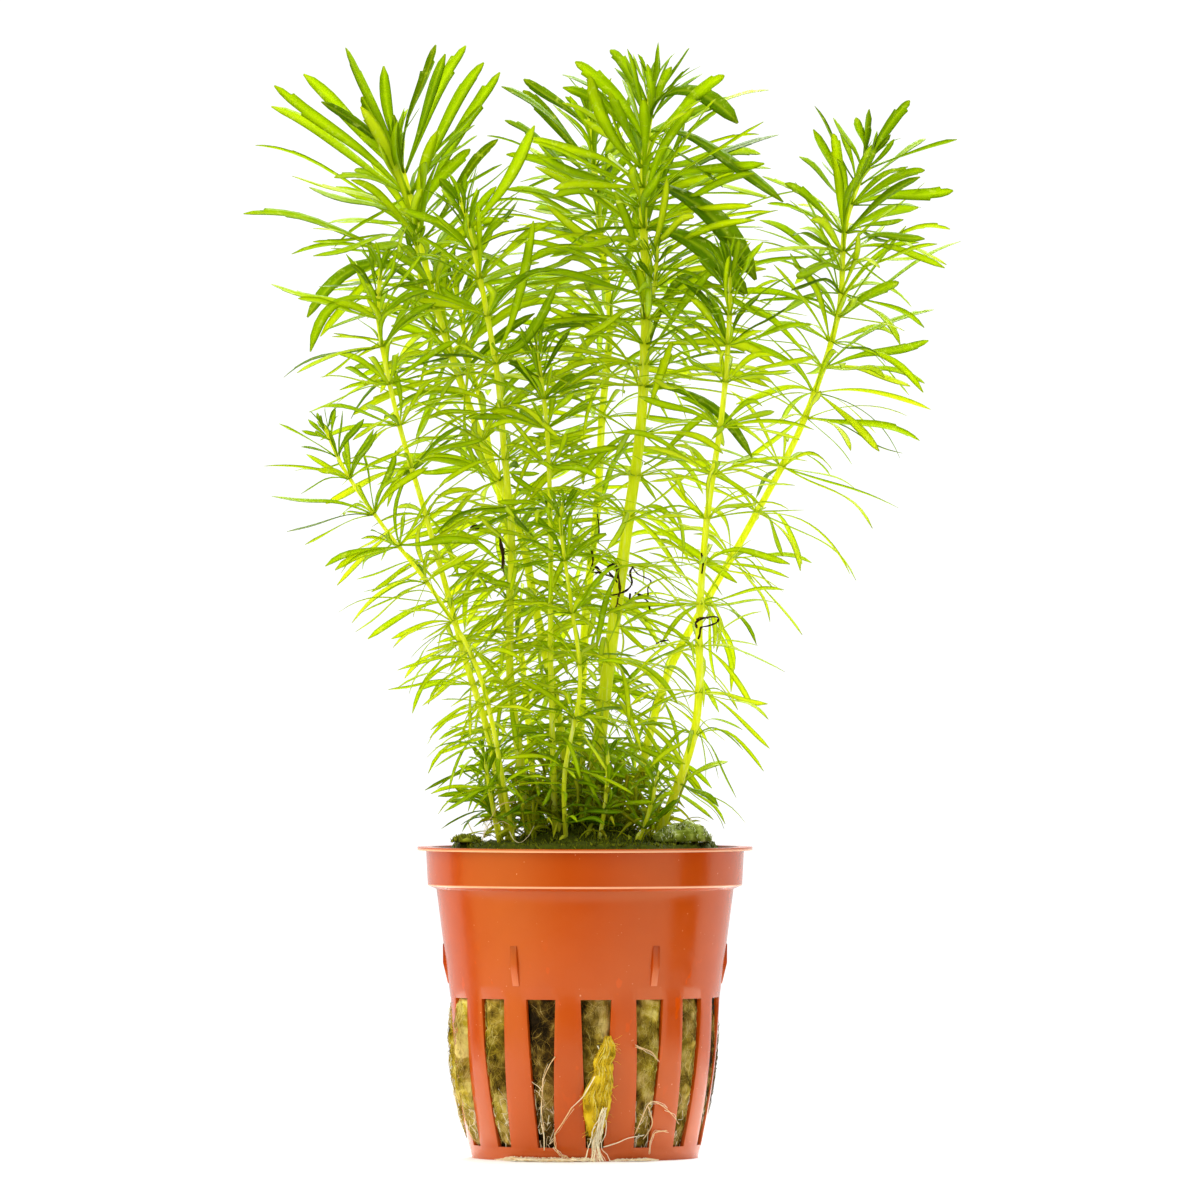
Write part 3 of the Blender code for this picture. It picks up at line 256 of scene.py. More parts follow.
# Leaf blades and stems
FULLNESS_AT = (0.3, 0.6, 1.0, 1.8)
FULLNESS = (1.8, 1.55, 1.38, 1.28)
BLADE_THICKNESS = 0.10
ARCH_GAIN = (0.6, 2.1)
EXTRA_LENGTH = 1.08
WHORL_AT = (60.0, 115.0, 150.0)
WHORL_SHARE = (0.85, 0.66, 0.5)
EXTRA_RISE = 17.0
EXTRA_AT = (0.0, 12.0, 30.0, 60.0)
EXTRA_LEAN = (-16.0, -10.0, -3.0, -4.0)
BUD_LENGTH = 6.0
CLOSE_NODES = 5.5
CROWDED_LENGTH = 46.0
CROWDED_LEAF = 15.0
PINNED_WIDTH = 1.15
YOUNG_AT = (0.0, 6.0, 14.0)
YOUNG_WIDTH = (0.6, 0.75, 1.0)
BROAD_WIDTH = 1.05
BLADE_T = (0.0, 0.08, 0.2, 0.4, 0.58, 0.74, 0.87, 0.95, 1.0)
BLADE_WIDTH = (0.26, 0.3, 0.46, 0.76, 0.96, 1.0, 0.84, 0.58, 0.14)
BROAD_T = (0.0, 0.08, 0.2, 0.34, 0.47, 0.6, 0.70, 0.77, 0.78, 0.84, 0.88, 0.89, 0.95, 1.0)
LEFT_TOOTH_T = (0.0, 0.68, 0.77, 0.78, 0.9, 1.0)
LEFT_TOOTH = (0.0, 0.0, 0.28, -0.22, 0.0, 0.0)
RIGHT_TOOTH_T = (0.0, 0.80, 0.88, 0.89, 0.97, 1.0)
RIGHT_TOOTH = (0.0, 0.0, 0.34, -0.26, 0.0, 0.0)
STEM_STEP = 1.0
STEM_SIDES = 12

# Broad leaves of the outline by the x and z of their tip: width, how dark, rise of the arch
BROAD_TIPS = {
    (26.3, 141.5): (2.0, 0.8, 2.5), (-45.8, 138.1): (2.1, 0.72, 5.0),
    (-8.2, 169.1): (1.9, 0.4, 0.0), (-43.5, 173.6): (1.5, 0.85, 0.0),
    (-36.9, 174.4): (1.6, 0.8, 0.0), (-19.7, 183.1): (1.7, 0.5, 0.0),
    (-16.6, 179.8): (1.8, 0.55, 0.0), (-46.5, 178.3): (1.7, 0.45, 0.5),
    (-51.2, 176.2): (1.6, 0.45, 1.0), (-51.9, 173.1): (1.9, 0.4, 1.0),
    (-33.2, 179.5): (1.5, 0.6, 0.0), (-39.4, 182.3): (1.7, 0.55, 0.0),
}
FEATURE_TIPS = ((25.0, 169.5), (32.5, 156.6), (28.1, 143.7), (0.8, 177.3), (3.9, 174.7))

# Way that the broad leaves face and the share of their turn
OPEN_FACE = (0.0, -0.8, 0.6)
OPEN_TURN = 0.3

# Leaves seen one by one: base, point above the arch, tip, width and how dark
FEATURES = {
    'centre': (
        ((10.4, -2.4, 159.9), (19.5, -8.0, 160.0), (27.9, -11.0, 143.8), 3.3, 0.82),
        ((10.2, -2.4, 152.4), (18.7, -9.0, 154.6), (26.4, -12.0, 141.5), 2.8, 0.78),
        ((11.0, -2.4, 172.8), (18.0, -6.0, 178.0), (25.0, -8.0, 169.5), 2.5, 0.76),
        ((10.9, -2.4, 168.4), (21.4, -7.0, 170.3), (32.4, -9.0, 156.6), 2.2, 0.76),
        ((9.9, -2.4, 126.5), (18.6, -8.0, 125.0), (27.3, -12.0, 114.8), 1.5, 0.76),
        ((9.6, -2.6, 162.4), (3.0, -8.0, 168.5), (0.8, -9.5, 177.2), 1.7, 0.34),
        ((10.0, -2.6, 163.0), (5.8, -8.0, 167.5), (3.9, -9.5, 174.6), 1.5, 0.4),
        ((9.4, -2.6, 146.6), (6.6, -8.5, 151.0), (4.9, -10.0, 158.3), 1.1, 0.36),
        ((10.2, -2.6, 121.4), (12.0, -9.0, 127.0), (14.3, -11.0, 133.8), 1.3, 0.22),
        ((10.4, -2.6, 132.6), (15.0, -9.0, 136.0), (21.2, -12.0, 145.7), 2.1, 0.48),
        ((9.7, -2.6, 113.8), (15.0, -8.0, 116.0), (20.4, -10.0, 122.4), 1.4, 0.4),
        ((9.3, -2.6, 137.8), (9.0, -8.5, 141.0), (8.6, -10.0, 146.0), 1.0, 0.25)),
    'inner_left': (
        ((-14.6, -9.4, 131.5), (-10.5, -13.0, 138.0), (-8.4, -14.5, 153.4), 1.2, 0.4),
        ((-15.2, -9.8, 133.5), (-12.0, -13.5, 128.5), (-4.6, -16.0, 143.0), 1.3, 0.6)),
    'tall_left': (
        ((-28.8, 10.2, 155.5), (-32.0, 5.5, 166.0), (-36.9, 3.5, 172.6), 1.5, 0.08),),
    'left': (
        ((-33.4, -12.4, 140.4), (-42.0, -15.0, 143.0), (-44.8, -15.5, 132.0), 1.3, 0.5),),
}

# Fine pot sheet: columns a slot pitch, and how many of them cross the slot
POT_CELLS = 12
SLOT_CELLS = 8
POT_ROW_PARTS = (1, None, 2, 8, 12, 2, 1, 1)
COLLAR_SHARES = (0.0, 0.05, 0.3, 0.65, 0.95)

# Fibres and strands
FIBRES_PER_SLOT = 230
TUFT_FIBRES = 560
TUFT_FLUFF = 300
MOSS_STRANDS = 5200
CLUMP_RINGS = 14
CLUMP_SIDES = 40
CLUMP_STRANDS = 200
TANGLE_LEAVES = 600
MOSS_EDGE = (21.2, 22.8)
# Lugs: painted reflection of the floor on the lower half and painted shade on the upper half, by
# height
LUG_SHADE_Z = (LUG_FOOT_Z, LUG_MIDDLE_Z - 0.3, LUG_MIDDLE_Z + 0.3, LUG_TOP_Z)
LUG_SHADE = (0.95, 0.8, 0.1, 0.0)
RIDGE_RISE = 0.9
RIB_BOW = 0.6
SLOT_ROOTS = 110
SLOT_TONE = (0.14, 0.34, 0.32, -0.05, 0.14, 0.24, 0.16, 0.22, 0.28, 0.14, 0.22, 0.3, 0.42,
             0.27, 0.02)
SLOT_GOLD = (0.3, 0.7, 0.35, 0.1, 0.2, 0.5, 0.1, 0.2, 0.4, 0.2, 0.2, 0.8, 0.85, 0.6, 0.05)
WOOL_PROUD = (0.3, 0.45, 0.3, 0.4, 0.2, 0.3, 0.2, 0.4, 0.3, 0.2, 0.3, -0.2, 0.7, 0.4, 0.45)

# Torn tuft, from its foot upwards: centre, half width and distance from the wall
TUFT_Z = (4.3, 5.1, 7.1, 9.0, 11.0, 12.9, 14.5, 16.1, 17.2, 18.8, 20.2)
TUFT_X = (1.6, 1.7, 1.8, 1.9, 1.9, 2.65, 3.05, 2.7, 3.3, 3.75, 3.7)
TUFT_HALF = (0.6, 1.3, 1.7, 2.05, 2.15, 1.9, 1.35, 1.35, 1.6, 1.1, 0.5)
TUFT_OFF = (0.9, 0.9, 0.9, 1.0, 1.0, 1.0, 1.0, 0.9, 0.9, 0.6, 0.3)

# Fine roots over the wall, seen from the front: x and z of each point, with a radius
FINE_ROOTS = (
    (((-6.9, 11.5), (-7.7, 12.3), (-8.6, 13.0)), 0.09),
    (((-7.1, 6.1), (-6.7, 4.1), (-6.6, 1.8)), 0.14),
    (((2.0, 18.9), (2.6, 17.9), (3.3, 16.7)), 0.12),
    (((10.3, 8.9), (11.0, 6.9), (10.7, 5.3), (9.5, 3.6)), 0.12),
    (((3.0, 2.3), (5.3, 3.0), (7.1, 3.8), (9.7, 4.3)), 0.11),
)

# Where the loop over the rib leaves the tuft: x, z and distance from the wall
LOOP_START = ((1.6, 14.0, 2.4), (0.6, 12.2, 2.3), (-0.4, 10.6, 1.5), (-2.1, 8.9, 0.8))

# Roots that curl in the air above the moss, with a radius
AIR_ROOTS = (
    (((-17.0, -13.0, 51.9), (-16.2, -13.6, 54.4), (-15.0, -14.0, 55.0), (-13.6, -14.0, 55.3),
      (-12.2, -13.8, 54.6)), 0.07),
    (((-12.4, -14.4, 53.8), (-11.8, -14.8, 52.6), (-10.4, -14.8, 52.0), (-9.0, -14.4, 53.0),
      (-8.2, -14.0, 54.6)), 0.07),
    (((-18.0, 3.2, 52.0), (-19.0, 4.4, 55.0), (-17.6, 6.6, 56.2), (-15.6, 8.0, 53.0)), 0.12),
    (((12.0, 12.4, 52.0), (13.4, 13.4, 55.8), (11.2, 15.2, 57.0), (8.2, 16.0, 54.0),
      (7.0, 16.4, 52.2)), 0.12),
    (((16.0, 4.0, 52.0), (17.4, 5.4, 54.8), (17.0, 7.8, 55.6), (15.2, 9.6, 52.6)), 0.11),
)

# Wiry dead threads beside the dried remnants, with a radius
WIRY = {
    'dried_centre': (
        (((1.1, -5.0, 99.6), (1.3, -5.2, 97.8), (1.0, -5.0, 96.2), (2.6, -4.8, 95.9),
          (4.6, -3.4, 95.2), (5.3, -2.8, 94.4)), 0.13),
        (((1.0, -5.0, 96.3), (1.8, -5.2, 96.8), (2.6, -5.0, 95.8)), 0.2),
        (((4.8, -3.1, 95.1), (4.0, -3.4, 96.0), (3.9, -3.4, 97.0), (4.9, -3.2, 97.3),
          (5.5, -2.9, 96.4), (5.3, -2.8, 95.0)), 0.14),
        (((4.0, -3.0, 92.2), (5.5, -2.9, 92.5), (7.0, -2.7, 93.2), (7.7, -2.6, 94.4),
          (7.4, -2.7, 96.0), (7.9, -2.8, 97.0)), 0.13),
        (((7.7, -2.9, 97.0), (8.6, -3.4, 95.8), (9.8, -3.8, 95.2), (10.8, -4.0, 94.6),
          (10.3, -4.0, 93.4), (10.2, -3.9, 92.0), (8.4, -3.2, 92.7)), 0.09),
        (((8.2, -3.1, 92.7), (9.6, -3.9, 91.9), (10.4, -4.3, 91.0), (10.6, -4.4, 89.9)), 0.15),
        (((5.2, -2.6, 91.0), (6.4, -2.7, 90.4), (7.2, -2.6, 91.2), (7.4, -2.6, 92.6)), 0.12),
        (((2.2, -4.2, 100.8), (2.3, -4.4, 103.4), (2.0, -4.4, 105.6)), 0.08),
        (((11.6, -6.0, 84.3), (12.4, -6.2, 84.7), (13.6, -6.4, 84.9)), 0.11)),
    'dried_left': (
        (((-14.0, -7.4, 102.6), (-13.8, -7.6, 100.8), (-13.4, -7.4, 98.6), (-13.6, -7.4, 96.6)),
         0.2),
        (((-18.6, -8.0, 103.0), (-18.1, -8.2, 103.6), (-17.5, -8.0, 103.1)), 0.3)),
    'dried_right': (
        (((18.3, -10.9, 86.9), (18.2, -11.1, 87.9), (19.8, -11.2, 88.6), (21.6, -11.3, 88.7),
          (21.6, -11.4, 87.9), (20.2, -11.4, 87.3), (19.0, -11.2, 87.0), (18.8, -11.1, 86.0),
          (18.5, -11.0, 85.1)), 0.13),
        (((19.0, -11.3, 99.2), (19.3, -11.5, 97.6), (19.1, -11.4, 95.8)), 0.1)),
}

# Colours as sRGB from 0 to 255, placed along each ramp
LEAF_TONES = ((0.12, (240, 242, 60)), (0.35, (216, 230, 8)), (0.6, (176, 206, 3)),
              (0.85, (112, 156, 2)), (1.0, (60, 110, 2)))
FOOT_TONES = ((0.15, (216, 212, 60)), (0.5, (174, 172, 22)), (0.8, (134, 126, 14)),
              (1.0, (112, 90, 14)))
LEAF_SHEEN = (1.0, 1.0, 0.2, 1.0)
STEM_TONES = ((0.3, (236, 240, 20)), (0.55, (248, 250, 70)), (0.75, (252, 253, 190)))
POT_TONES = ((0.3, (180, 66, 5)), (0.7, (187, 72, 9)))
POT_WET = (198, 72, 2)
POT_SHEEN = (1.0, 0.92, 0.6, 1.0)
WOOL_TONES = ((0.25, (40, 28, 12)), (0.5, (104, 78, 30)), (0.75, (166, 134, 60)),
              (1.0, (214, 186, 116)))
GOLD_TONES = ((0.25, (86, 68, 6)), (0.5, (154, 132, 14)), (0.75, (206, 184, 40)),
              (1.0, (236, 222, 120)))
YELLOW_TONES = ((0.25, (150, 118, 8)), (0.5, (226, 184, 16)), (0.8, (250, 222, 60)),
                (1.0, (253, 240, 150)))
MOSS_TONES = ((0.25, (34, 36, 1)), (0.5, (68, 76, 2)), (0.8, (112, 118, 6)),
              (1.0, (160, 162, 40)))
PALE_MOSS_TONES = ((0.3, (44, 54, 2)), (0.6, (104, 116, 20)), (0.85, (164, 176, 78)),
                   (1.0, (226, 230, 186)))
ROOT_TONES = ((0.3, (206, 156, 102)), (0.65, (244, 212, 160)), (1.0, (255, 246, 220)))
DRIED_TONES = ((0.3, (22, 12, 4)), (0.6, (58, 36, 12)), (1.0, (120, 92, 40)))

# Sockets of a colour mix, and the part of a noise that a roughness follows
MIX_FACTOR, MIX_FIRST, MIX_SECOND, MIX_RESULT = 0, 6, 7, 2
GRAIN_SPAN = (0.3, 0.7)
PLAIN_SHEEN = (1.0, 1.0, 1.0, 1.0)

# Layers of colour: attribute or noise that drives it, from, to, shares there and colour.
# The leaf has a pale midrib, a greener edge, painted wet highlights and an olive tip; the stem has
# a darker foot and darker nodes; the pot has painted shade and painted reflections of the floor,
# flecks, and painted highlights along its edges.
LEAF_LAYERS = (('rib', 0.0, 0.3, 0.35, 0.0, (224, 234, 50)),
               ('rib', 0.45, 1.0, 0.0, 0.55, (118, 160, 2)),
               # Painted highlights: pale patches where the leaf looks wet
               ((0.7, 4.0, 0.65), 0.57, 0.7, 0.0, 0.6, (234, 240, 120)),
               ('along', 0.9, 1.0, 0.0, 0.4, (160, 170, 20)))
STEM_LAYERS = (('along', 0.0, 0.16, 0.8, 0.0, (180, 180, 24)),
               ('rib', 0.0, 1.0, 0.0, 1.0, (196, 206, 10)))
POT_PAINTED_SHADE_AND_REFLECTION = (('tone', 0.0, 0.5, 0.8, 0.0, (150, 50, 12)),
              ('tone', 0.5, 1.0, 0.0, 0.8, (216, 116, 74)))
# Flecks from noise, and painted highlights on the flange and collar edges from the rib attribute
POT_FLECKS_AND_EDGE_HIGHLIGHTS = (((1.6, 1.0), 0.77, 0.80, 0.0, 0.6, (236, 164, 120)),
             ('rib', 0.2, 0.9, 0.0, 0.85, (255, 196, 156)))

# Looks: noises as details per millimetre, detail, roughness and stretch; relief as depth
# in millimetres and strength; light that passes through as colour, its blend and its share
LEAF_LOOK = dict(grain=(0.35, 3.0), weight=0.3, layers=LEAF_LAYERS, rough_grain=(1.3, 2.0),
                 rough=(0.30, 0.48), relief_grain=(0.5, 1.0), relief=(0.02, 0.15), gloss=0.07,
                 sheen=LEAF_SHEEN, through=(238, 246, 0), blend=0.45, share=0.52)
STREAKS = (1.6, 3.0, 0.6, (1.0, 1.0, 0.08))
STEM_LOOK = dict(grain=STREAKS, weight=0.0, layers=STEM_LAYERS, rough_grain=(0.8, 2.0),
                 rough=(0.25, 0.42), relief_grain=STREAKS, relief=(0.08, 0.5), gloss=0.12,
                 sheen=LEAF_SHEEN, through=(254, 255, 70), blend=0.3, share=0.5)
POT_GRAIN = (0.06, 3.0)
POT_WET_FOOT = (0.004, 0.02)
POT_WET_TOP = (0.030, 0.037)
POT_DROPS = (0.42, 2.0, 0.5, (1.0, 1.0, 0.6))
POT_DROP_SPAN = (0.66, 0.69)
POT_WET_GLOSS = -0.08
POT_ROUGH_GRAIN = (0.35, 4.0)
POT_ROUGH = (0.15, 0.23)
POT_RELIEF_GRAIN = (0.9, 4.0)
POT_RELIEF = (0.03, 0.6)
WOOL_GRAIN = (0.8, 5.0, 0.7)
WOOL_WEIGHT = 0.9
WOOL_PATCHES = (0.25, 2.0)
WOOL_PATCH_SPAN = (0.36, 0.64, -0.3, 0.26)
WOOL_CLOUDS = (0.16, 3.0)
WOOL_CLOUD_SPAN = (0.35, 0.65, 0.2, 1.3)
WOOL_GLOSS = 0.1
WOOL_ROUGH = (0.85, 0.98)
WOOL_RELIEF_GRAIN = (2.2, 5.0, 0.7)
WOOL_RELIEF = (0.25, 0.9)

# Studio: light by azimuth from the front towards +X, and the camera
RAMP_TOP = 4.0
STUDIO_BAND = ((-180.0, 3.2), (-150.0, 3.0), (-138.0, 1.5), (-118.0, 1.5), (-114.0, 0.25),
               (-104.0, 0.25), (-100.0, 1.5), (-72.0, 2.5), (-50.0, 2.3), (-34.0, 1.4),
               (-14.0, 0.4), (12.0, 0.3), (24.0, 0.6), (50.0, 0.95), (71.0, 0.9), (75.0, 0.03),
               (101.0, 0.03), (105.0, 1.3), (138.0, 1.4), (150.0, 3.0), (180.0, 3.2))
TOP_LIGHT = 1.6
TOP_SPAN = (0.35, 0.75)
BACK_FROM = 110.0
RIGHT_TO = 72.0
STUDIO_STRENGTH = 0.93
WHITE_LIGHT = (1.0, 1.0, 1.0)
LEFT_LIGHT = (0.74, 0.74, 0.36)
RIGHT_LIGHT = (1.0, 1.25, 1.3)
BACKDROP = 1.1
BACK_GLARE = 1.0
KEY_POWER = 6.0
BACK_POWER = 20.0
FLOOR_RADIUS = 0.14
FLOOR_SIDES = 96
FLOOR_LOOK = {'Base Color': (0.93, 0.93, 0.93, 1.0), 'Roughness': 0.9, 'Specular IOR Level': 0.1}
SENSOR_WIDTH = 36.0
CAMERA_DISTANCE = 2.5
PICTURE_WIDTH = 197.0
PICTURE_CENTRE_X = 2.46
PICTURE_CENTRE_Z = 91.5


def graph(x, places, values):
    """Height at x of the broken line through the given places and values."""
    return float(np.interp(x, places, values))


def polar(radius, azimuth, z):
    """Point at an azimuth in degrees from the front towards +X."""
    angle = math.radians(azimuth)
    return (radius * math.sin(angle), -radius * math.cos(angle), z)


def wall_radius(z):
    """Outer radius of the tapered wall, whose ribs bow out a little."""
    straight = graph(z, (SLOT_FOOT_Z, SLOT_TOP_Z, WALL_TOP_Z),
                     (WALL_FOOT_RADIUS, WALL_SLOT_RADIUS, WALL_TOP_RADIUS))
    share = (z - SLOT_FOOT_Z) / (SLOT_TOP_Z - SLOT_FOOT_Z)
    return straight + RIB_BOW * math.sin(math.pi * min(max(share, 0.0), 1.0))


def slot_half_angle(z):
    return graph(z, (SLOT_FOOT_Z, SLOT_TOP_Z), (SLOT_FOOT_HALF_ANGLE, SLOT_TOP_HALF_ANGLE))


def pot_profile():
    """Rows of the pot sheet: outer radius and z, inner radius and z, column half angle."""
    even = SLOT_PITCH / 3.0
    under = RIM_Z - FLANGE_THICKNESS
    wall = WALL_THICKNESS
    return (
        (FLANGE_RADIUS, under, FLANGE_RADIUS, RIM_Z, even),
        (COLLAR_TOP_RADIUS, under, COLLAR_TOP_RADIUS - wall, RIM_Z, even),
        (COLLAR_FOOT_RADIUS, COLLAR_FOOT_Z, COLLAR_FOOT_RADIUS - wall, COLLAR_FOOT_Z + wall, even),
        (WALL_TOP_RADIUS, WALL_TOP_Z, WALL_TOP_RADIUS - wall, WALL_TOP_Z + wall, even),
        (WALL_SLOT_RADIUS, SLOT_TOP_Z, WALL_SLOT_RADIUS - wall, SLOT_TOP_Z, SLOT_TOP_HALF_ANGLE),
        (WALL_FOOT_RADIUS, SLOT_FOOT_Z, WALL_FOOT_RADIUS - wall, SLOT_FOOT_Z,
         SLOT_FOOT_HALF_ANGLE),
        (BASE_RADIUS, 0.0, BASE_RADIUS - wall, BASE_THICKNESS, even),
        (BASE_OPENING_OUTER, 0.0, BASE_OPENING_OUTER, BASE_THICKNESS, even),
        (BASE_OPENING_INNER, 0.0, BASE_OPENING_INNER, BASE_THICKNESS, even),
    )


def sheet_faces(rows, columns, is_open):
    """Faces of a closed two-sided sheet with openings; inner points follow the outer ones."""
    half = rows * columns

    def index(row, column, inner):
        return row * columns + column % columns + (half if inner else 0)

    faces = []
    for row in range(rows - 1):
        for column in range(columns):
            cell = ((row, column), (row, column + 1), (row + 1, column + 1), (row + 1, column))
            if is_open(row, column):
                if row == rows - 2:
                    a, b = cell[2], cell[3]
                    faces.append([index(*a, False), index(*b, False), index(*b, True),
                                  index(*a, True)])
                continue
            faces.append([index(r, c, False) for r, c in cell])
            faces.append([index(r, c, True) for r, c in reversed(cell)])
            beside = ((row - 1, column), (row, column + 1), (row + 1, column), (row, column - 1))
            for side, (r, c) in enumerate(beside):
                edge_of_sheet = r < 0
                hole = 0 <= r < rows - 1 and is_open(r, c % columns)
                if edge_of_sheet or hole:
                    a = cell[side]
                    b = cell[(side + 1) % 4]
                    faces.append([index(*b, False), index(*a, False), index(*a, True),
                                  index(*b, True)])
    return faces


def lug_shape(azimuth):
    """Points and faces of one lug: a fin that rises from the wall and falls back to it."""
    low = wall_radius(LUG_FOOT_Z)
    high = wall_radius(LUG_TOP_Z)
    middle = wall_radius(LUG_MIDDLE_Z)
    outline = ((high - LUG_ROOT, LUG_TOP_Z), (high + LUG_EDGE, LUG_TOP_Z),
               (middle + LUG_PROUD, LUG_MIDDLE_Z), (low + LUG_EDGE, LUG_FOOT_Z),
               (low - LUG_ROOT, LUG_FOOT_Z))
    half = math.degrees(0.5 * LUG_WIDTH / low)
    count = len(outline)
    points = [polar(r, azimuth - half, z) for r, z in outline]
    points += [polar(r, azimuth + half, z) for r, z in outline]
    faces = [list(range(count)), list(range(2 * count - 1, count - 1, -1))]
    for i in range(count):
        j = (i + 1) % count
        faces.append([i, i + count, j + count, j])
    return points, faces


def on_wall(x, z, stand_off):
    """Point in front of the pot wall at a given x and z."""
    radius = wall_radius(max(z, SLOT_FOOT_Z)) + stand_off
    return (x, -math.sqrt(radius * radius - x * x), z)


def spline(points, per_span=14):
    """Catmull-Rom curve through the points."""
    p = np.array(points, dtype=float)
    p = np.vstack((2 * p[0] - p[1], p, 2 * p[-1] - p[-2]))
    out = []
    for i in range(1, len(p) - 2):
        for t in np.linspace(0.0, 1.0, per_span, endpoint=False):
            a = 2 * p[i]
            b = p[i + 1] - p[i - 1]
            c = 2 * p[i - 1] - 5 * p[i] + 4 * p[i + 1] - p[i + 2]
            d = -p[i - 1] + 3 * p[i] - 3 * p[i + 1] + p[i + 2]
            out.append(0.5 * (a + b * t + c * t * t + d * t ** 3))
    out.append(p[-2])
    return np.array(out)


class Stem:
    """A stem's centre line, measured along its length."""

    def __init__(self, points):
        self.points = spline(points)
        steps = np.linalg.norm(np.diff(self.points, axis=0), axis=1)
        self.reach = np.concatenate(((0.0,), np.cumsum(steps)))
        self.length = float(self.reach[-1])

    def at(self, s):
        return np.array([np.interp(s, self.reach, self.points[:, k]) for k in range(3)])

    def frame(self, s):
        """Centre, side, forward and along directions."""
        along = self.at(min(s + 1.0, self.length)) - self.at(max(s - 1.0, 0.0))
        along /= np.linalg.norm(along)
        side = np.array((1.0, 0.0, 0.0)) - along * along[0]
        side /= np.linalg.norm(side)
        return self.at(s), side, np.cross(along, side), along


def node_places(stem, data, rng):
    """Distances of the leaf nodes from the growing tip."""
    stout = data['leaf'][0] > STOUT_LEAF
    crown = STOUT_CROWN if stout else SLIM_CROWN
    places = [c for c in crown if c < stem.length - 2.0]
    last = places[-1]
    while last + data['spacing'] * 1.2 < stem.length - 2.0:
        last += data['spacing'] * rng.uniform(0.88, 1.12)
        places.append(last)
    return places


def stem_radius(data, stem, s):
    foot, tip = data['radii']
    return foot + (tip - foot) * s / stem.length


def leaf_curve(base, out, along, rise, bend, length):
    """Base, middle and tip of a leaf that arches outward."""
    chord = math.radians(rise)
    start = math.radians(min(rise + bend, STEEPEST))
    tip = base + length * (math.cos(chord) * out + math.sin(chord) * along)
    lead = base + 0.5 * length * (math.cos(start) * out + math.sin(start) * along)
    return np.array((base, 0.25 * base + 0.5 * lead + 0.25 * tip, tip))


def grow_leaf(data, stem, s, angle, rng):
    """Size and pose that the growth rule gives a leaf at a place along the stem."""
    centre, side, forward, along = stem.frame(s)
    place = stem.length - s
    rise = graph(place, TIP_DISTANCE, CHORD_RISE)
    bend = graph(place, TIP_DISTANCE, CHORD_BEND)
    length = data['leaf'][0] * graph(place, TIP_DISTANCE, LENGTH_SHARE)
    width = data['leaf'][1] * graph(place, TIP_DISTANCE, WIDTH_SHARE)
    return dict(centre=centre, along=along, side=side, forward=forward,
                radius=stem_radius(data, stem, s), angle=angle,
                rise=rise + rng.uniform(-RISE_SPREAD, RISE_SPREAD),
                bend=bend * rng.uniform(0.2, 1.3),
                length=length * rng.uniform(0.82, 1.1), width=width * rng.uniform(0.85, 1.15),
                tip=None)


def plan_shoot(name, data, rng):
    """List the leaves that the growth rule gives one shoot."""
    stem = Stem(data['route'])
    count = data['leaves']
    phase = rng.uniform(0.0, 360.0)
    leaves = []
    nodes = []
    for k, place in enumerate(node_places(stem, data, rng)):
        s = stem.length - place
        phase += 180.0 / count
        tilt = rng.uniform(*WHORL_TILT)
        lean = rng.uniform(0.0, 2.0 * math.pi)
        nodes.append(dict(s=s, phase=phase))
        for i in range(count):
            angle = math.radians(phase + (i + 0.5) * 360.0 / count)
            low = place > LOW_SHARE * stem.length
            dropped = low and rng.random() < data['lost']
            leaf = grow_leaf(data, stem, s, angle, rng)
            leaf['rise'] += tilt * math.cos(angle - lean)
            leaf.update(shoot=name, node=k, kept=not dropped)
            leaf['bent'] = leaf['length'] * leaf['width'] > BENT_SIZE
            leaves.append(leaf)
    return dict(name=name, stem=stem, nodes=nodes, leaves=leaves, data=data)


def shape_leaf(leaf, turn=0.0, lift=0.0, scale=1.0, shift=0.0):
    """Points of a leaf, turned, lifted, shortened or moved in depth to find free room."""
    angle = leaf['angle'] + math.radians(turn)
    out = math.cos(angle) * leaf['side'] + math.sin(angle) * leaf['forward']
    base_out = math.cos(leaf['angle']) * leaf['side'] + math.sin(leaf['angle']) * leaf['forward']
    base = leaf['centre'] + base_out * leaf['radius'] * 0.95
    curve = leaf_curve(base, out, leaf['along'], leaf['rise'] + lift, leaf['bend'],
                       leaf['length'] * scale)
    if leaf['tip'] is None:
        return curve
    tip = np.array((leaf['tip'][0], curve[2][1] + shift, leaf['tip'][1]))
    flat = math.hypot(tip[0] - base[0], tip[2] - base[2])
    limit = math.sqrt(max((LONGEST * max(flat, leaf['length'])) ** 2 - flat ** 2, 1.0))
    tip[1] = base[1] + max(-limit, min(limit, tip[1] - base[1]))
    middle = curve[1] + 0.5 * (tip - curve[2])
    return np.array((base, middle, tip))


def pin_outline(plan):
    """Give the traced outline tips to the leaves whose own tips lie nearest."""
    free = [leaf for leaf in plan['leaves'] if leaf['kept']]
    for x, z in OUTLINE_TIPS.get(plan['name'], ()):
        best = None
        for leaf in free:
            tip = shape_leaf(leaf)[2]
            miss = math.hypot(tip[0] - x, tip[2] - z)
            if best is None or miss < best[0]:
                best = (miss, leaf)
        if best and best[0] < PIN_REACH:
            best[1]['tip'] = (x, z)
            free = [leaf for leaf in free if leaf is not best[1]]


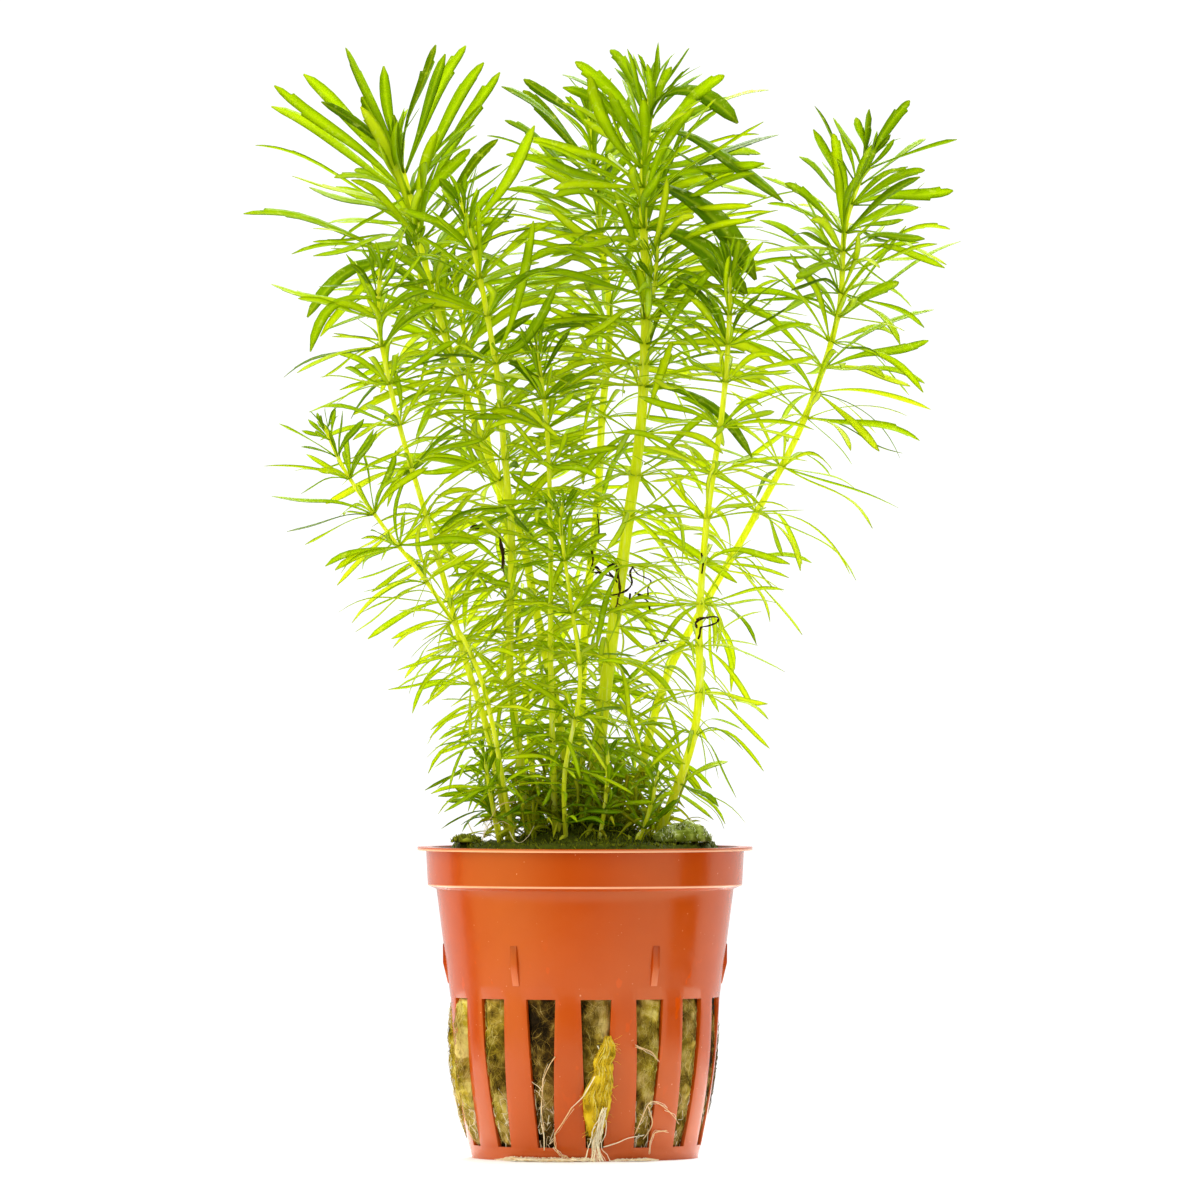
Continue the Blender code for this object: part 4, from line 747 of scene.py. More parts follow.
class Room:
    """Space already taken by stems and leaves, as thick line pieces."""

    def __init__(self):
        self.count = 0
        self.start = np.zeros((ROOM_PIECES, 3))
        self.end = np.zeros((ROOM_PIECES, 3))
        self.thick = np.zeros(ROOM_PIECES)
        self.owner = np.zeros(ROOM_PIECES, dtype='U24')
        self.node = np.zeros(ROOM_PIECES, dtype=int)

    def add(self, a, b, thick, owner, node):
        k = self.count
        self.start[k] = a
        self.end[k] = b
        self.thick[k] = thick
        self.owner[k] = owner
        self.node[k] = node
        self.count += 1

    def clear_of(self, points, thick, owner, node):
        """Whether points with a thickness keep their distance from everything."""
        used = slice(0, self.count)
        start = self.start[used]
        along = self.end[used] - start
        size = np.maximum((along * along).sum(axis=1), 1e-9)
        gap = points[:, None, :] - start[None, :, :]
        t = np.clip((gap * along[None]).sum(axis=2) / size[None], 0.0, 1.0)
        away = np.linalg.norm(gap - t[:, :, None] * along[None], axis=2)
        need = thick[:, None] + self.thick[used][None, :] + LEAF_GAP
        own = self.owner[used] == owner
        same_node = own & (self.node[used] == node)
        far_out = np.arange(len(points)) >= len(points) // 3
        hit = (away < need) & ~same_node[None, :]
        hit &= (~own)[None, :] | far_out[:, None]
        return not hit.any()


def leaf_samples(curve):
    """Points along the two straight halves of a leaf."""
    t = np.linspace(0.05, 1.0, LEAF_STATIONS)[:, None]
    first = curve[0] + (curve[1] - curve[0]) * np.minimum(2 * t, 1.0)
    second = curve[1] + (curve[2] - curve[1]) * np.maximum(2 * t - 1.0, 0.0)
    return np.where(t < 0.5, first, second)


def above_pot(points):
    """Whether a leaf stays clear of the moss and the rim."""
    inside = np.hypot(points[:, 0], points[:, 1]) < RIM_KEEP_OUT
    low = points[:, 2] < LOWEST_LEAF_Z
    if (inside & low)[6:].any():
        return False
    clump_gap = np.linalg.norm(points - np.array(CLUMP_CENTRE), axis=1)
    return not (clump_gap < CLUMP_KEEP_OUT).any()


def place_leaf(leaf, room):
    """Find a free pose for a leaf; a leaf that finds none is left out."""
    if leaf['tip'] is None:
        tries = [dict(turn=a, lift=b, scale=c) for a, b, c in MOVES]
    else:
        tries = [dict(shift=s) for s in SHIFTS]
    for move in tries:
        curve = shape_leaf(leaf, **move)
        arch = curve[1].copy()
        if not leaf['bent']:
            curve[1] = 0.5 * (curve[0] + curve[2])
        points = leaf_samples(curve)
        thick = leaf['width'] * np.interp(np.linspace(0.05, 1.0, len(points)),
                                          (0.0, 0.5, 1.0), (0.3, 0.42, 0.12)) + 0.08
        if not above_pot(points):
            continue
        if room.clear_of(points, thick, leaf['shoot'], leaf['node']):
            leaf['curve'] = curve
            leaf['arch'] = arch
            width = leaf['width']
            room.add(curve[0], curve[1], 0.38 * width + 0.08, leaf['shoot'], leaf['node'])
            room.add(curve[1], curve[2], 0.28 * width + 0.06, leaf['shoot'], leaf['node'])
            return
    leaf['kept'] = False


def claim_stem(room, plan, spare):
    """Take the space of a stem, piece by piece."""
    stem = plan['stem']
    stops = np.linspace(0.0, stem.length, STEM_PIECES + 1)
    for a, b in zip(stops[:-1], stops[1:]):
        thick = stem_radius(plan['data'], stem, a) + spare
        room.add(stem.at(a), stem.at(b), thick, plan['name'], -1)


def plan_plant():
    """Plan every shoot, then place the outline leaves first and the rest after them."""
    rng = random.Random(SEED)
    plans = []
    room = Room()
    for name, data in SHOOTS.items():
        plan = plan_shoot(name, data, rng)
        pin_outline(plan)
        plans.append(plan)
        claim_stem(room, plan, STEM_SPARE)
    for name, (line, radius, _) in FREE_STRANDS.items():
        for a, b in zip(line[:-1], line[1:]):
            room.add(np.array(a), np.array(b), radius, name, -1)
    leaves = [leaf for plan in plans for leaf in plan['leaves'] if leaf['kept']]
    leaves.sort(key=lambda leaf: leaf['tip'] is None)
    for leaf in leaves:
        place_leaf(leaf, room)
    return plans


# Materials

def new_material(name):
    """New node material, its tree and its shader."""
    made = bpy.data.materials.new(name)
    made.use_nodes = True
    return made, made.node_tree, made.node_tree.nodes['Principled BSDF']


def feed(tree, node, inputs):
    """Link or set inputs of a node: each is a socket, or a value."""
    for key, value in inputs.items():
        if isinstance(value, bpy.types.NodeSocket):
            tree.links.new(value, node.inputs[key])
        else:
            node.inputs[key].default_value = value


def add_node(tree, kind, inputs, **settings):
    made = tree.nodes.new(kind)
    for key, value in settings.items():
        setattr(made, key, value)
    feed(tree, made, inputs)
    return made


def maths(tree, operation, *values):
    made = add_node(tree, 'ShaderNodeMath', dict(enumerate(values)), operation=operation)
    return made.outputs[0]


def attribute(tree, name):
    return add_node(tree, 'ShaderNodeAttribute', {}, attribute_name=name).outputs['Fac']


def noise(tree, scale, detail=4.0, roughness=0.6, stretch=None):
    """Noise in object space, in details per millimetre, stretched if asked."""
    place = add_node(tree, 'ShaderNodeTexCoord', {}).outputs['Object']
    if stretch:
        place = add_node(tree, 'ShaderNodeMapping', {'Vector': place, 'Scale': stretch}).outputs[0]
    inputs = {'Vector': place, 'Scale': scale / MM, 'Detail': detail, 'Roughness': roughness}
    return add_node(tree, 'ShaderNodeTexNoise', inputs).outputs['Fac']


def rgba(colour):
    """Linear colour of an sRGB one given from 0 to 255."""
    parts = [value / 255.0 for value in colour]
    return (*(v / 12.92 if v <= 0.04045 else ((v + 0.055) / 1.055) ** 2.4 for v in parts), 1.0)


def ramp(tree, factor, stops):
    """Colour ramp with stops given as place and linear colour."""
    made = add_node(tree, 'ShaderNodeValToRGB', {'Fac': factor})
    elements = made.color_ramp.elements
    while len(elements) < len(stops):
        elements.new(0.5)
    for element, (place, colour) in zip(elements, stops):
        element.position = place
        element.color = colour
    return made.outputs['Color']


def toned(tree, factor, tones):
    return ramp(tree, factor, [(place, rgba(colour)) for place, colour in tones])


def mix(tree, factor, first, second):
    """Mix two colours; the second is a socket, or an sRGB colour."""
    second = rgba(second) if isinstance(second, tuple) else second
    inputs = {MIX_FACTOR: factor, MIX_FIRST: first, MIX_SECOND: second}
    return add_node(tree, 'ShaderNodeMix', inputs, data_type='RGBA').outputs[MIX_RESULT]


def span(tree, value, low, high, to_low=0.0, to_high=1.0):
    """Map a value from one range to another, clamped."""
    inputs = {'Value': value, 'From Min': low, 'From Max': high, 'To Min': to_low,
              'To Max': to_high}
    return add_node(tree, 'ShaderNodeMapRange', inputs).outputs['Result']


def relief(tree, height, distance, strength):
    """Normal of a bump whose distance is in millimetres."""
    inputs = {'Strength': strength, 'Distance': distance * MM, 'Height': height}
    return add_node(tree, 'ShaderNodeBump', inputs).outputs['Normal']


def painted(tree, body, layers):
    """Lay colours over a body, each driven by an attribute or by noise."""
    for source, low, high, first, last, colour in layers:
        value = attribute(tree, source) if isinstance(source, str) else noise(tree, *source)
        body = mix(tree, span(tree, value, low, high, first, last), body, colour)
    return body


def let_through(tree, shader, colour, share):
    """Mix the shader with light that passes through something thin."""
    glow = add_node(tree, 'ShaderNodeBsdfTranslucent', {'Color': colour})
    both = add_node(tree, 'ShaderNodeMixShader', {0: share, 1: shader.outputs[0],
                                                  2: glow.outputs[0]})
    feed(tree, tree.nodes['Material Output'], {'Surface': both.outputs[0]})


def grown_material(name, tones, look):
    """Leaf, stem or fibre: toned grain under layers of colour, with fine relief."""
    made, tree, shader = new_material(name)
    factor = noise(tree, *look['grain'])
    if look['weight']:
        factor = maths(tree, 'MULTIPLY_ADD', factor, look['weight'], attribute(tree, 'tone'))
    body = painted(tree, toned(tree, factor, tones), look['layers'])
    rough = span(tree, noise(tree, *look['rough_grain']), *GRAIN_SPAN, *look['rough'])
    normal = relief(tree, noise(tree, *look['relief_grain']), *look['relief'])
    feed(tree, shader, {'Base Color': body, 'Roughness': rough, 'Normal': normal,
                        'Specular IOR Level': look['gloss'], 'Specular Tint': look['sheen']})
    if look['share']:
        light = mix(tree, look['blend'], body, look['through']) if look['blend'] else body
        let_through(tree, shader, light, look['share'])
    return made


def fibre_look(scale, roughness, share=0.0):
    """Look of dull fibrous stuff: fine noise and each strand's own tone."""
    grain = (scale, 5.0, 0.65)
    return dict(grain=grain, weight=0.7, layers=(), rough_grain=grain,
                rough=(roughness - 0.12, roughness), relief_grain=(scale * 2.5, 4.0),
                relief=(0.12, 0.7), gloss=0.15, sheen=PLAIN_SHEEN, share=share, blend=0.0)


def pot_material():
    """Moulded plastic: warm orange with a satin sheen, painted highlights on the flange and collar
    edges, and a few wet marks.
    """
    made, tree, shader = new_material('pot_plastic')
    body = painted(tree, toned(tree, noise(tree, *POT_GRAIN), POT_TONES), POT_PAINTED_SHADE_AND_REFLECTION)
    place = add_node(tree, 'ShaderNodeTexCoord', {}).outputs['Object']
    height = add_node(tree, 'ShaderNodeSeparateXYZ', {'Vector': place}).outputs['Z']
    band = maths(tree, 'MULTIPLY', span(tree, height, *POT_WET_FOOT),
                 span(tree, height, *POT_WET_TOP, 1.0, 0.0))
    wet = maths(tree, 'MULTIPLY', span(tree, noise(tree, *POT_DROPS), *POT_DROP_SPAN), band)
    body = painted(tree, mix(tree, wet, body, POT_WET), POT_FLECKS_AND_EDGE_HIGHLIGHTS)
    grain = span(tree, noise(tree, *POT_ROUGH_GRAIN), *GRAIN_SPAN, *POT_ROUGH)
    feed(tree, shader, {'Base Color': body, 'Specular Tint': POT_SHEEN,
                        'Roughness': maths(tree, 'MULTIPLY_ADD', wet, POT_WET_GLOSS, grain),
                        'Normal': relief(tree, noise(tree, *POT_RELIEF_GRAIN), *POT_RELIEF)})
    return made


def wool_material():
    """Rock wool: olive brown fibres, yellow green where algae and light reach them."""
    made, tree, shader = new_material('wool')
    grain = noise(tree, *WOOL_GRAIN)
    patch = span(tree, noise(tree, *WOOL_PATCHES), *WOOL_PATCH_SPAN)
    tone = maths(tree, 'ADD', attribute(tree, 'tone'), patch)
    factor = maths(tree, 'MULTIPLY_ADD', grain, WOOL_WEIGHT, tone)
    cloud = span(tree, noise(tree, *WOOL_CLOUDS), *WOOL_CLOUD_SPAN)
    share = maths(tree, 'MULTIPLY', attribute(tree, 'rib'), cloud)
    body = mix(tree, share, toned(tree, factor, WOOL_TONES), toned(tree, factor, GOLD_TONES))
    feed(tree, shader, {'Base Color': body, 'Specular IOR Level': WOOL_GLOSS,
                        'Roughness': span(tree, grain, *GRAIN_SPAN, *WOOL_ROUGH),
                        'Normal': relief(tree, noise(tree, *WOOL_RELIEF_GRAIN), *WOOL_RELIEF)})
    return made


# Mesh helpers

class Heap:
    """Points, faces and per-point values of one piece made of many small bodies."""

    def __init__(self):
        self.points = []
        self.faces = []
        self.looks = []
        self.values = {'tone': [], 'along': [], 'rib': []}

    def add(self, points, faces, tone=0.5, along=0.5, rib=1.0, look=0):
        first = len(self.points)
        self.points.extend(points)
        self.faces.extend([[first + i for i in face] for face in faces])
        self.looks.extend([look] * len(faces))
        for key, value in (('tone', tone), ('along', along), ('rib', rib)):
            if isinstance(value, (int, float)):
                value = [value] * len(points)
            self.values[key].extend(value)

    def add_blade(self, made, tone):
        points, faces, along, rib = made
        self.add(points, faces, tone, list(along), list(rib))

    def build(self, name, materials):
        mesh = bpy.data.meshes.new(name)
        scaled = np.array(self.points, dtype=float) * MM
        mesh.from_pydata(scaled.tolist(), [], self.faces)
        for key, values in self.values.items():
            made = mesh.attributes.new(key, 'FLOAT', 'POINT')
            made.data.foreach_set('value', np.array(values, dtype=np.float32))
        mesh.polygons.foreach_set('material_index', np.array(self.looks, dtype=np.int32))
        mesh.polygons.foreach_set('use_smooth', np.full(len(self.faces), True))
        for item in materials:
            mesh.materials.append(item)
        mesh.update()
        made = bpy.data.objects.new(name, mesh)
        bpy.context.scene.collection.objects.link(made)
        return made

    def stand_for(self, node, slot, *materials):
        """Build the piece that is shown in place of a CAD node."""
        dress(self.build(node + '_live', materials), slot, node)


def dress(piece, slot, *nodes):
    """Tie a piece to the frame and hide the nodes that it stands for; the slot is not used."""
    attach(piece, 'root')
    if nodes:
        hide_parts(*nodes)


def turns(count):
    """Angles of a ring of points, in radians."""
    return [2.0 * math.pi * i / count for i in range(count)]


def strand_faces(stations, sides):
    faces = []
    for level in range(stations - 1):
        for i in range(sides):
            j = (i + 1) % sides
            a = level * sides
            faces.append((a + i, a + j, a + sides + j, a + sides + i))
    faces.append(tuple(range(sides))[::-1])
    faces.append(tuple((stations - 1) * sides + i for i in range(sides)))
    return faces


def strand(line, radii, sides=3):
    """Points and faces of a thin round strand along a line."""
    line = np.array(line, dtype=float)
    ahead = np.gradient(line, axis=0)
    ahead /= np.maximum(np.linalg.norm(ahead, axis=1), 1e-9)[:, None]
    side = np.cross(ahead, (0.31, 0.22, 0.92))
    side /= np.maximum(np.linalg.norm(side, axis=1), 1e-6)[:, None]
    up = np.cross(side, ahead)
    turn = np.arange(sides) * 2.0 * math.pi / sides
    radii = np.broadcast_to(np.asarray(radii, dtype=float), (len(line),))
    ring_x = np.cos(turn)[None, :, None] * side[:, None, :]
    ring_y = np.sin(turn)[None, :, None] * up[:, None, :]
    points = line[:, None, :] + radii[:, None, None] * (ring_x + ring_y)
    return points.reshape(-1, 3), strand_faces(len(line), sides)


def smooth_noise(rng, count, step=5):
    """Slowly changing random values along a row."""
    knots = [rng.uniform(-1.0, 1.0) for _ in range(count // step + 3)]
    places = np.arange(count) / step
    return np.interp(places, range(len(knots)), knots)


def lumps(seed, count, reach):
    """Random waves that together make an uneven height over 3-D points."""
    rng = np.random.RandomState(seed)
    waves = rng.normal(0.0, 1.0, (count, 3)) * reach
    shifts = rng.uniform(0.0, 2.0 * math.pi, count)

    def height(points):
        return np.sin(points @ waves.T + shifts).sum(axis=1) / math.sqrt(count)
    return height


# Shoots

def blade_outline(leaf, length, rng):
    """Stations along a blade with the share of its width to the left and to the right."""
    if leaf['width'] < BROAD_WIDTH or rng.random() < 0.35:
        t = np.linspace(0.0, 1.0, int(min(max(round(length / 1.4), 8), 12)))
        share = np.interp(t, BLADE_T, BLADE_WIDTH)
        return t, share, share
    t = np.array(BROAD_T)
    share = np.interp(t, BLADE_T, BLADE_WIDTH)
    bite = rng.uniform(0.2, 1.0)
    left = share * (1.0 + bite * np.interp(t, LEFT_TOOTH_T, LEFT_TOOTH))
    right = share * (1.0 + bite * np.interp(t, RIGHT_TOOTH_T, RIGHT_TOOTH))
    return (t, left, right) if rng.random() < 0.5 else (t, right, left)


def blade_line(leaf, t, length, rng):
    """Middle line of a blade: an arch that rises from the stem, with a slight wave."""
    base, tip = leaf['curve'][0], leaf['curve'][2]
    chord = 0.5 * (base + tip)
    gain = leaf.get('gain', rng.uniform(*ARCH_GAIN))
    control = chord + 2.0 * gain * (leaf['arch'] - chord)
    line = ((1 - t) ** 2)[:, None] * base + (2 * t * (1 - t))[:, None] * control
    line = line + (t ** 2)[:, None] * tip
    wave = rng.uniform(-0.035, 0.035) * length * np.sin(2.0 * math.pi * t)
    return line + wave[:, None] * leaf['along']


def blade(leaf, rng):
    """Points, faces and values of one leaf blade with a folded midrib."""
    length = np.linalg.norm(leaf['curve'][2] - leaf['curve'][0])
    t, left, right = blade_outline(leaf, length, rng)
    line = blade_line(leaf, t, length, rng)
    ahead = np.gradient(line, t, axis=0)
    ahead /= np.linalg.norm(ahead, axis=1)[:, None]
    across = np.cross(ahead, leaf['along'])
    across /= np.maximum(np.linalg.norm(across, axis=1), 0.15)[:, None]
    sway = rng.uniform(-0.08, 0.08) * length
    line += (sway * np.sin(t * math.pi))[:, None] * across
    up = np.cross(across, ahead)
    roll = math.radians(rng.uniform(-60.0, 60.0)) * t + math.radians(rng.uniform(-52.0, 52.0))
    roll = roll * leaf.get('turn', 1.0)
    wide = np.cos(roll)[:, None] * across + np.sin(roll)[:, None] * up
    up = np.cross(wide, ahead)
    width = leaf['width'] * graph(leaf['width'], FULLNESS_AT, FULLNESS)
    left = 0.5 * width * left
    right = 0.5 * width * right
    fold = rng.uniform(0.08, 0.30)
    thick = BLADE_THICKNESS * np.interp(t, (0.0, 0.2, 0.7, 1.0), (2.0, 1.1, 0.8, 0.3))
    thick *= min(width, 1.6) / 1.2
    rows = (line - left[:, None] * wide + (fold * left)[:, None] * up,
            line - (0.5 * left)[:, None] * wide + (0.42 * fold * left + 0.3 * thick)[:, None] * up,
            line + (0.1 * thick)[:, None] * up,
            line + (0.5 * right)[:, None] * wide
            + (0.42 * fold * right + 0.3 * thick)[:, None] * up,
            line + right[:, None] * wide + (fold * right)[:, None] * up,
            line - thick[:, None] * up)
    points = np.stack(rows, axis=1).reshape(-1, 3)
    rib = np.tile((1.0, 0.5, 0.0, 0.5, 1.0, 0.0), len(t))
    return points, strand_faces(len(t), 6), np.repeat(t, 6), rib


def taken_room(plans):
    """Space of the stems and of the planned leaves."""
    room = Room()
    for plan in plans:
        claim_stem(room, plan, 0.0)
        for leaf in plan['leaves']:
            if leaf['kept']:
                claim(room, leaf)
    return room


def claim(room, leaf):
    thick = 0.18 * leaf['width']
    room.add(leaf['curve'][0], leaf['arch'], thick, leaf['shoot'], leaf['node'])
    room.add(leaf['arch'], leaf['curve'][2], thick, leaf['shoot'], leaf['node'])


def place_extra(leaf, room):
    for turn, lift, scale in MOVES:
        curve = shape_leaf(leaf, turn=turn, lift=lift, scale=scale * EXTRA_LENGTH)
        points = leaf_samples(curve)
        if not above_pot(points):
            continue
        thick = np.full(len(points), 0.12 * leaf['width'])
        if room.clear_of(points, thick, leaf['shoot'], leaf['node']):
            leaf['curve'] = curve
            leaf['arch'] = curve[1]
            claim(room, leaf)
            return True
    return False


def add_close_nodes(plan, rng):
    """Whorls halfway between the planned ones, where the growth near the tip is crowded."""
    stem = plan['stem']
    places = sorted(node['s'] for node in plan['nodes'])
    first_extra = len(plan['nodes'])
    for low, high in zip(places[:-1], places[1:]):
        s = 0.5 * (low + high)
        near = stem.length - s < CROWDED_LENGTH and plan['data']['leaf'][0] > CROWDED_LEAF
        if near and high - low > CLOSE_NODES:
            plan['nodes'].append(dict(s=s, phase=rng.uniform(0.0, 60.0)))
    return first_extra


def extra_spots(plan, first_extra):
    """Node and angle of each leaf that the solid model leaves out."""
    pitch = 360.0 / plan['data']['leaves']
    spots = [(leaf['node'], math.degrees(leaf['angle'])) for leaf in plan['leaves']
             if not leaf['kept']]
    for k, node in enumerate(plan['nodes']):
        if plan['stem'].length - node['s'] < BUD_LENGTH:
            continue
        height = plan['stem'].at(node['s'])[2]
        share = 1.0 if k < first_extra else graph(height, WHORL_AT, WHORL_SHARE)
        count = int(round(plan['data']['leaves'] / share))
        spots += [(k, node['phase'] + i * share * pitch) for i in range(count)]
    return spots


def fill_whorls(plans):
    """Leaves between the planned ones, so that each whorl is as full as on the plant."""
    room = taken_room(plans)
    for plan in plans:
        rng = random.Random('fill ' + plan['name'])
        first_extra = add_close_nodes(plan, rng)
        for k, angle in extra_spots(plan, first_extra):
            turned = math.radians(angle + rng.uniform(-11.0, 11.0))
            leaf = grow_leaf(plan['data'], plan['stem'], plan['nodes'][k]['s'], turned, rng)
            crown = plan['stem'].length - plan['nodes'][k]['s']
            leaf['rise'] += rng.gauss(graph(crown, EXTRA_AT, EXTRA_LEAN), EXTRA_RISE)
            leaf['width'] *= rng.uniform(0.7, 1.15)
            leaf.update(shoot=plan['name'], node=k, kept=True)
            if place_extra(leaf, room):
                plan['leaves'].append(leaf)


def set_width(plan, leaf):
    """Final width of a blade: narrow in the bud, broad where the photograph shows it so."""
    crown = plan['stem'].length - plan['nodes'][leaf['node']]['s']
    if leaf['tip'] is None:
        reach = leaf['curve'][2] - leaf['curve'][0]
        facing = abs(reach[1]) / np.linalg.norm(reach)
        leaf['width'] *= graph(crown, YOUNG_AT, YOUNG_WIDTH) * (1.0 - 0.3 * facing)
        return
    share = graph(crown, (0.0, 40.0, 75.0), (PINNED_WIDTH, 0.95, 0.75))
    leaf['width'] = max(leaf['width'], share * plan['data']['leaf'][1])
    if tuple(leaf['tip']) in BROAD_TIPS:
        leaf['width'], _, lift = BROAD_TIPS[tuple(leaf['tip'])]
        leaf['along'] = np.array(OPEN_FACE)
        leaf['turn'] = OPEN_TURN
        leaf['arch'] = leaf['arch'] + np.array((0.0, 0.0, lift))


def add_features(heap, name, rng):
    """Leaves that the photograph shows one by one in front of their stem."""
    for base, arch, tip, width, tone in FEATURES.get(name, ()):
        curve = np.array((base, arch, tip))
        leaf = dict(curve=curve, arch=0.5 * curve[1] + 0.25 * (curve[0] + curve[2]),
                    along=np.array(OPEN_FACE), width=width, turn=OPEN_TURN, gain=1.0)
        heap.add_blade(blade(leaf, rng), tone)


def leaf_tone(plan, leaf, rng):
    """How dark a leaf is: dark at the growing tips and near the moss, with painted shade on the
    leaves towards the back.
    """
    height = leaf['curve'][0][2]
    crown = plan['stem'].length - plan['nodes'][leaf['node']]['s']
    young = graph(crown, (0.0, 5.0, 12.0, 24.0, 45.0), (0.66, 0.56, 0.4, 0.3, 0.2))
    low = graph(height, (52.0, 62.0, 80.0), (0.72, 0.46, 0.14))
    # Painted shade: leaves whose tips lie further back are darker
    deep = graph(leaf['curve'][2][1], (-24.0, 0.0, 26.0), (0.0, 0.02, 0.1))
    rare = 0.35 if rng.random() < 0.07 else 0.0
    if leaf['tip'] is not None and tuple(leaf['tip']) in BROAD_TIPS:
        return BROAD_TIPS[tuple(leaf['tip'])][1]
    return min(max(max(young, low) + deep + rare + rng.uniform(-0.2, 0.2), 0.0), 0.95)


def add_stem(heap, plan):
    """Stem with a swelling at each leaf node and a slightly ridged section."""
    stem = plan['stem']
    count = max(int(stem.length / STEM_STEP), 8)
    sides = STEM_SIDES
    places = np.linspace(-1.0, stem.length, count)
    nodes = np.array([node['s'] for node in plan['nodes']])
    points = []
    ring_value = []
    turn = np.arange(sides) * 2.0 * math.pi / sides
    for s in places:
        centre, side, forward, along = stem.frame(max(s, 0.0))
        if s < 0.0:
            centre = centre + s * along
        near = np.exp(-((nodes - s) / 0.55) ** 2).max()
        radius = stem_radius(plan['data'], stem, max(s, 0.0)) * (0.94 + 0.22 * near)
        radius *= graph(stem.length - s, (0.0, 1.2), (0.25, 1.0))
        ridge = 1.0 + 0.05 * np.cos(4.0 * turn + 0.02 * s)
        ring_points = centre + radius * ridge[:, None] * (
            np.cos(turn)[:, None] * side + np.sin(turn)[:, None] * forward)
        points.append(ring_points)
        ring_value += [0.35 * near] * sides
    along_value = np.repeat(np.clip(places / stem.length, 0.0, 1.0), sides)
    heap.add(np.concatenate(points), strand_faces(count, sides), 0.5, list(along_value),
             ring_value, look=1)


def build_shoots(plans, materials):
    for plan in plans:
        rng = random.Random('shoot ' + plan['name'])
        heap = Heap()
        add_stem(heap, plan)
        for leaf in plan['leaves']:
            if not leaf['kept']:
                continue
            if leaf['tip'] is not None and tuple(leaf['tip']) in FEATURE_TIPS:
                continue
            set_width(plan, leaf)
            heap.add_blade(blade(leaf, rng), leaf_tone(plan, leaf, rng))
        add_features(heap, plan['name'], rng)
        heap.stand_for('shoot_' + plan['name'], 'shoot', *materials)


# Pot

def fine_azimuth(column, half):
    """Azimuth of a fine pot column: slot cells first, then the cells of a rib."""
    slot, place = divmod(column, POT_CELLS)
    centre = SLOT_PHASE + slot * SLOT_PITCH
    if place <= SLOT_CELLS:
        return centre - half + 2.0 * half * place / SLOT_CELLS
    share = (place - SLOT_CELLS) / (POT_CELLS - SLOT_CELLS)
    return centre + half + (SLOT_PITCH - 2.0 * half) * share


def pot_rows():
    """Rows of the fine pot sheet with their slot half angle, and the first row of each part."""
    even = 0.5 * SLOT_CELLS * SLOT_PITCH / POT_CELLS
    coarse = [row[:4] for row in pot_profile()]
    halves = [even] * 4 + [SLOT_TOP_HALF_ANGLE, SLOT_FOOT_HALF_ANGLE] + [even] * 3
    parts = [COLLAR_SHARES if count is None else [round(i / count, 3) for i in range(count)]
             for count in POT_ROW_PARTS]
    rows = []
    for k, shares in enumerate(parts):
        for share in shares:
            row = [p + (q - p) * share for p, q in zip(coarse[k], coarse[k + 1])]
            rows.append((*row, halves[k] + (halves[k + 1] - halves[k]) * share))
    rows.append((*coarse[-1], halves[-1]))
    starts = np.cumsum([0] + [len(shares) for shares in parts])
    return rows, starts


def fine_pot():
    rows, starts = pot_rows()
    slot_first, slot_last = starts[SLOT_ROW], starts[SLOT_ROW + 1]
    columns = SLOT_COUNT * POT_CELLS

    def is_open(row, column):
        slot, place = divmod(column, POT_CELLS)
        if place >= SLOT_CELLS:
            return False
        if slot_first <= row < slot_last:
            return True
        return row == starts[BASE_ROW] and slot % BASE_OPENING_EVERY == 0

    rng = random.Random(61)
    lean = [rng.uniform(-0.3, 0.3) for _ in range(SLOT_COUNT)]
    push = [rng.uniform(-0.12, 0.2) for _ in range(SLOT_COUNT)]
    outer = []
    inner = []
    for r, (out_r, out_z, in_r, in_z, half) in enumerate(rows):
        in_slots = slot_first <= r <= slot_last
        wave = math.sin(math.pi * (r - slot_first) / (slot_last - slot_first)) if in_slots else 0.0
        for column in range(columns):
            rib = (column + POT_CELLS - SLOT_CELLS // 2) // POT_CELLS % SLOT_COUNT
            azimuth = fine_azimuth(column, half) + wave * lean[rib]
            bend = wave * (RIB_BOW + push[rib])
            outer.append(polar(out_r + bend, azimuth, out_z))
            inner.append(polar(in_r + bend, azimuth, in_z))
    faces = sheet_faces(len(rows), columns, is_open)
    last = (len(rows) - 1) * columns
    faces.append([last + c for c in range(columns)])
    faces.append([len(rows) * columns + last + c for c in reversed(range(columns))])
    # Painted highlight along the lower edge of the flange and along the collar foot
    pale = [1.0 if r in (0, starts[2]) else 0.0 for r in range(len(rows)) for _ in range(columns)]
    pale += [0.0] * len(pale)
    return outer + inner, faces, pale


def floor_reflection_tone(point):
    """Painted reflection of the floor: paler plastic on the base ring and on the lower ribs at the
    sides.
    """
    side = (point[0] / math.hypot(point[0], point[1])) ** 2
    low = graph(point[2], (2.0, 4.0, 13.0), (0.0, 0.2, 0.0)) * side
    return 0.5 + low + graph(point[2], (1.2, 2.4), (0.2, 0.0))


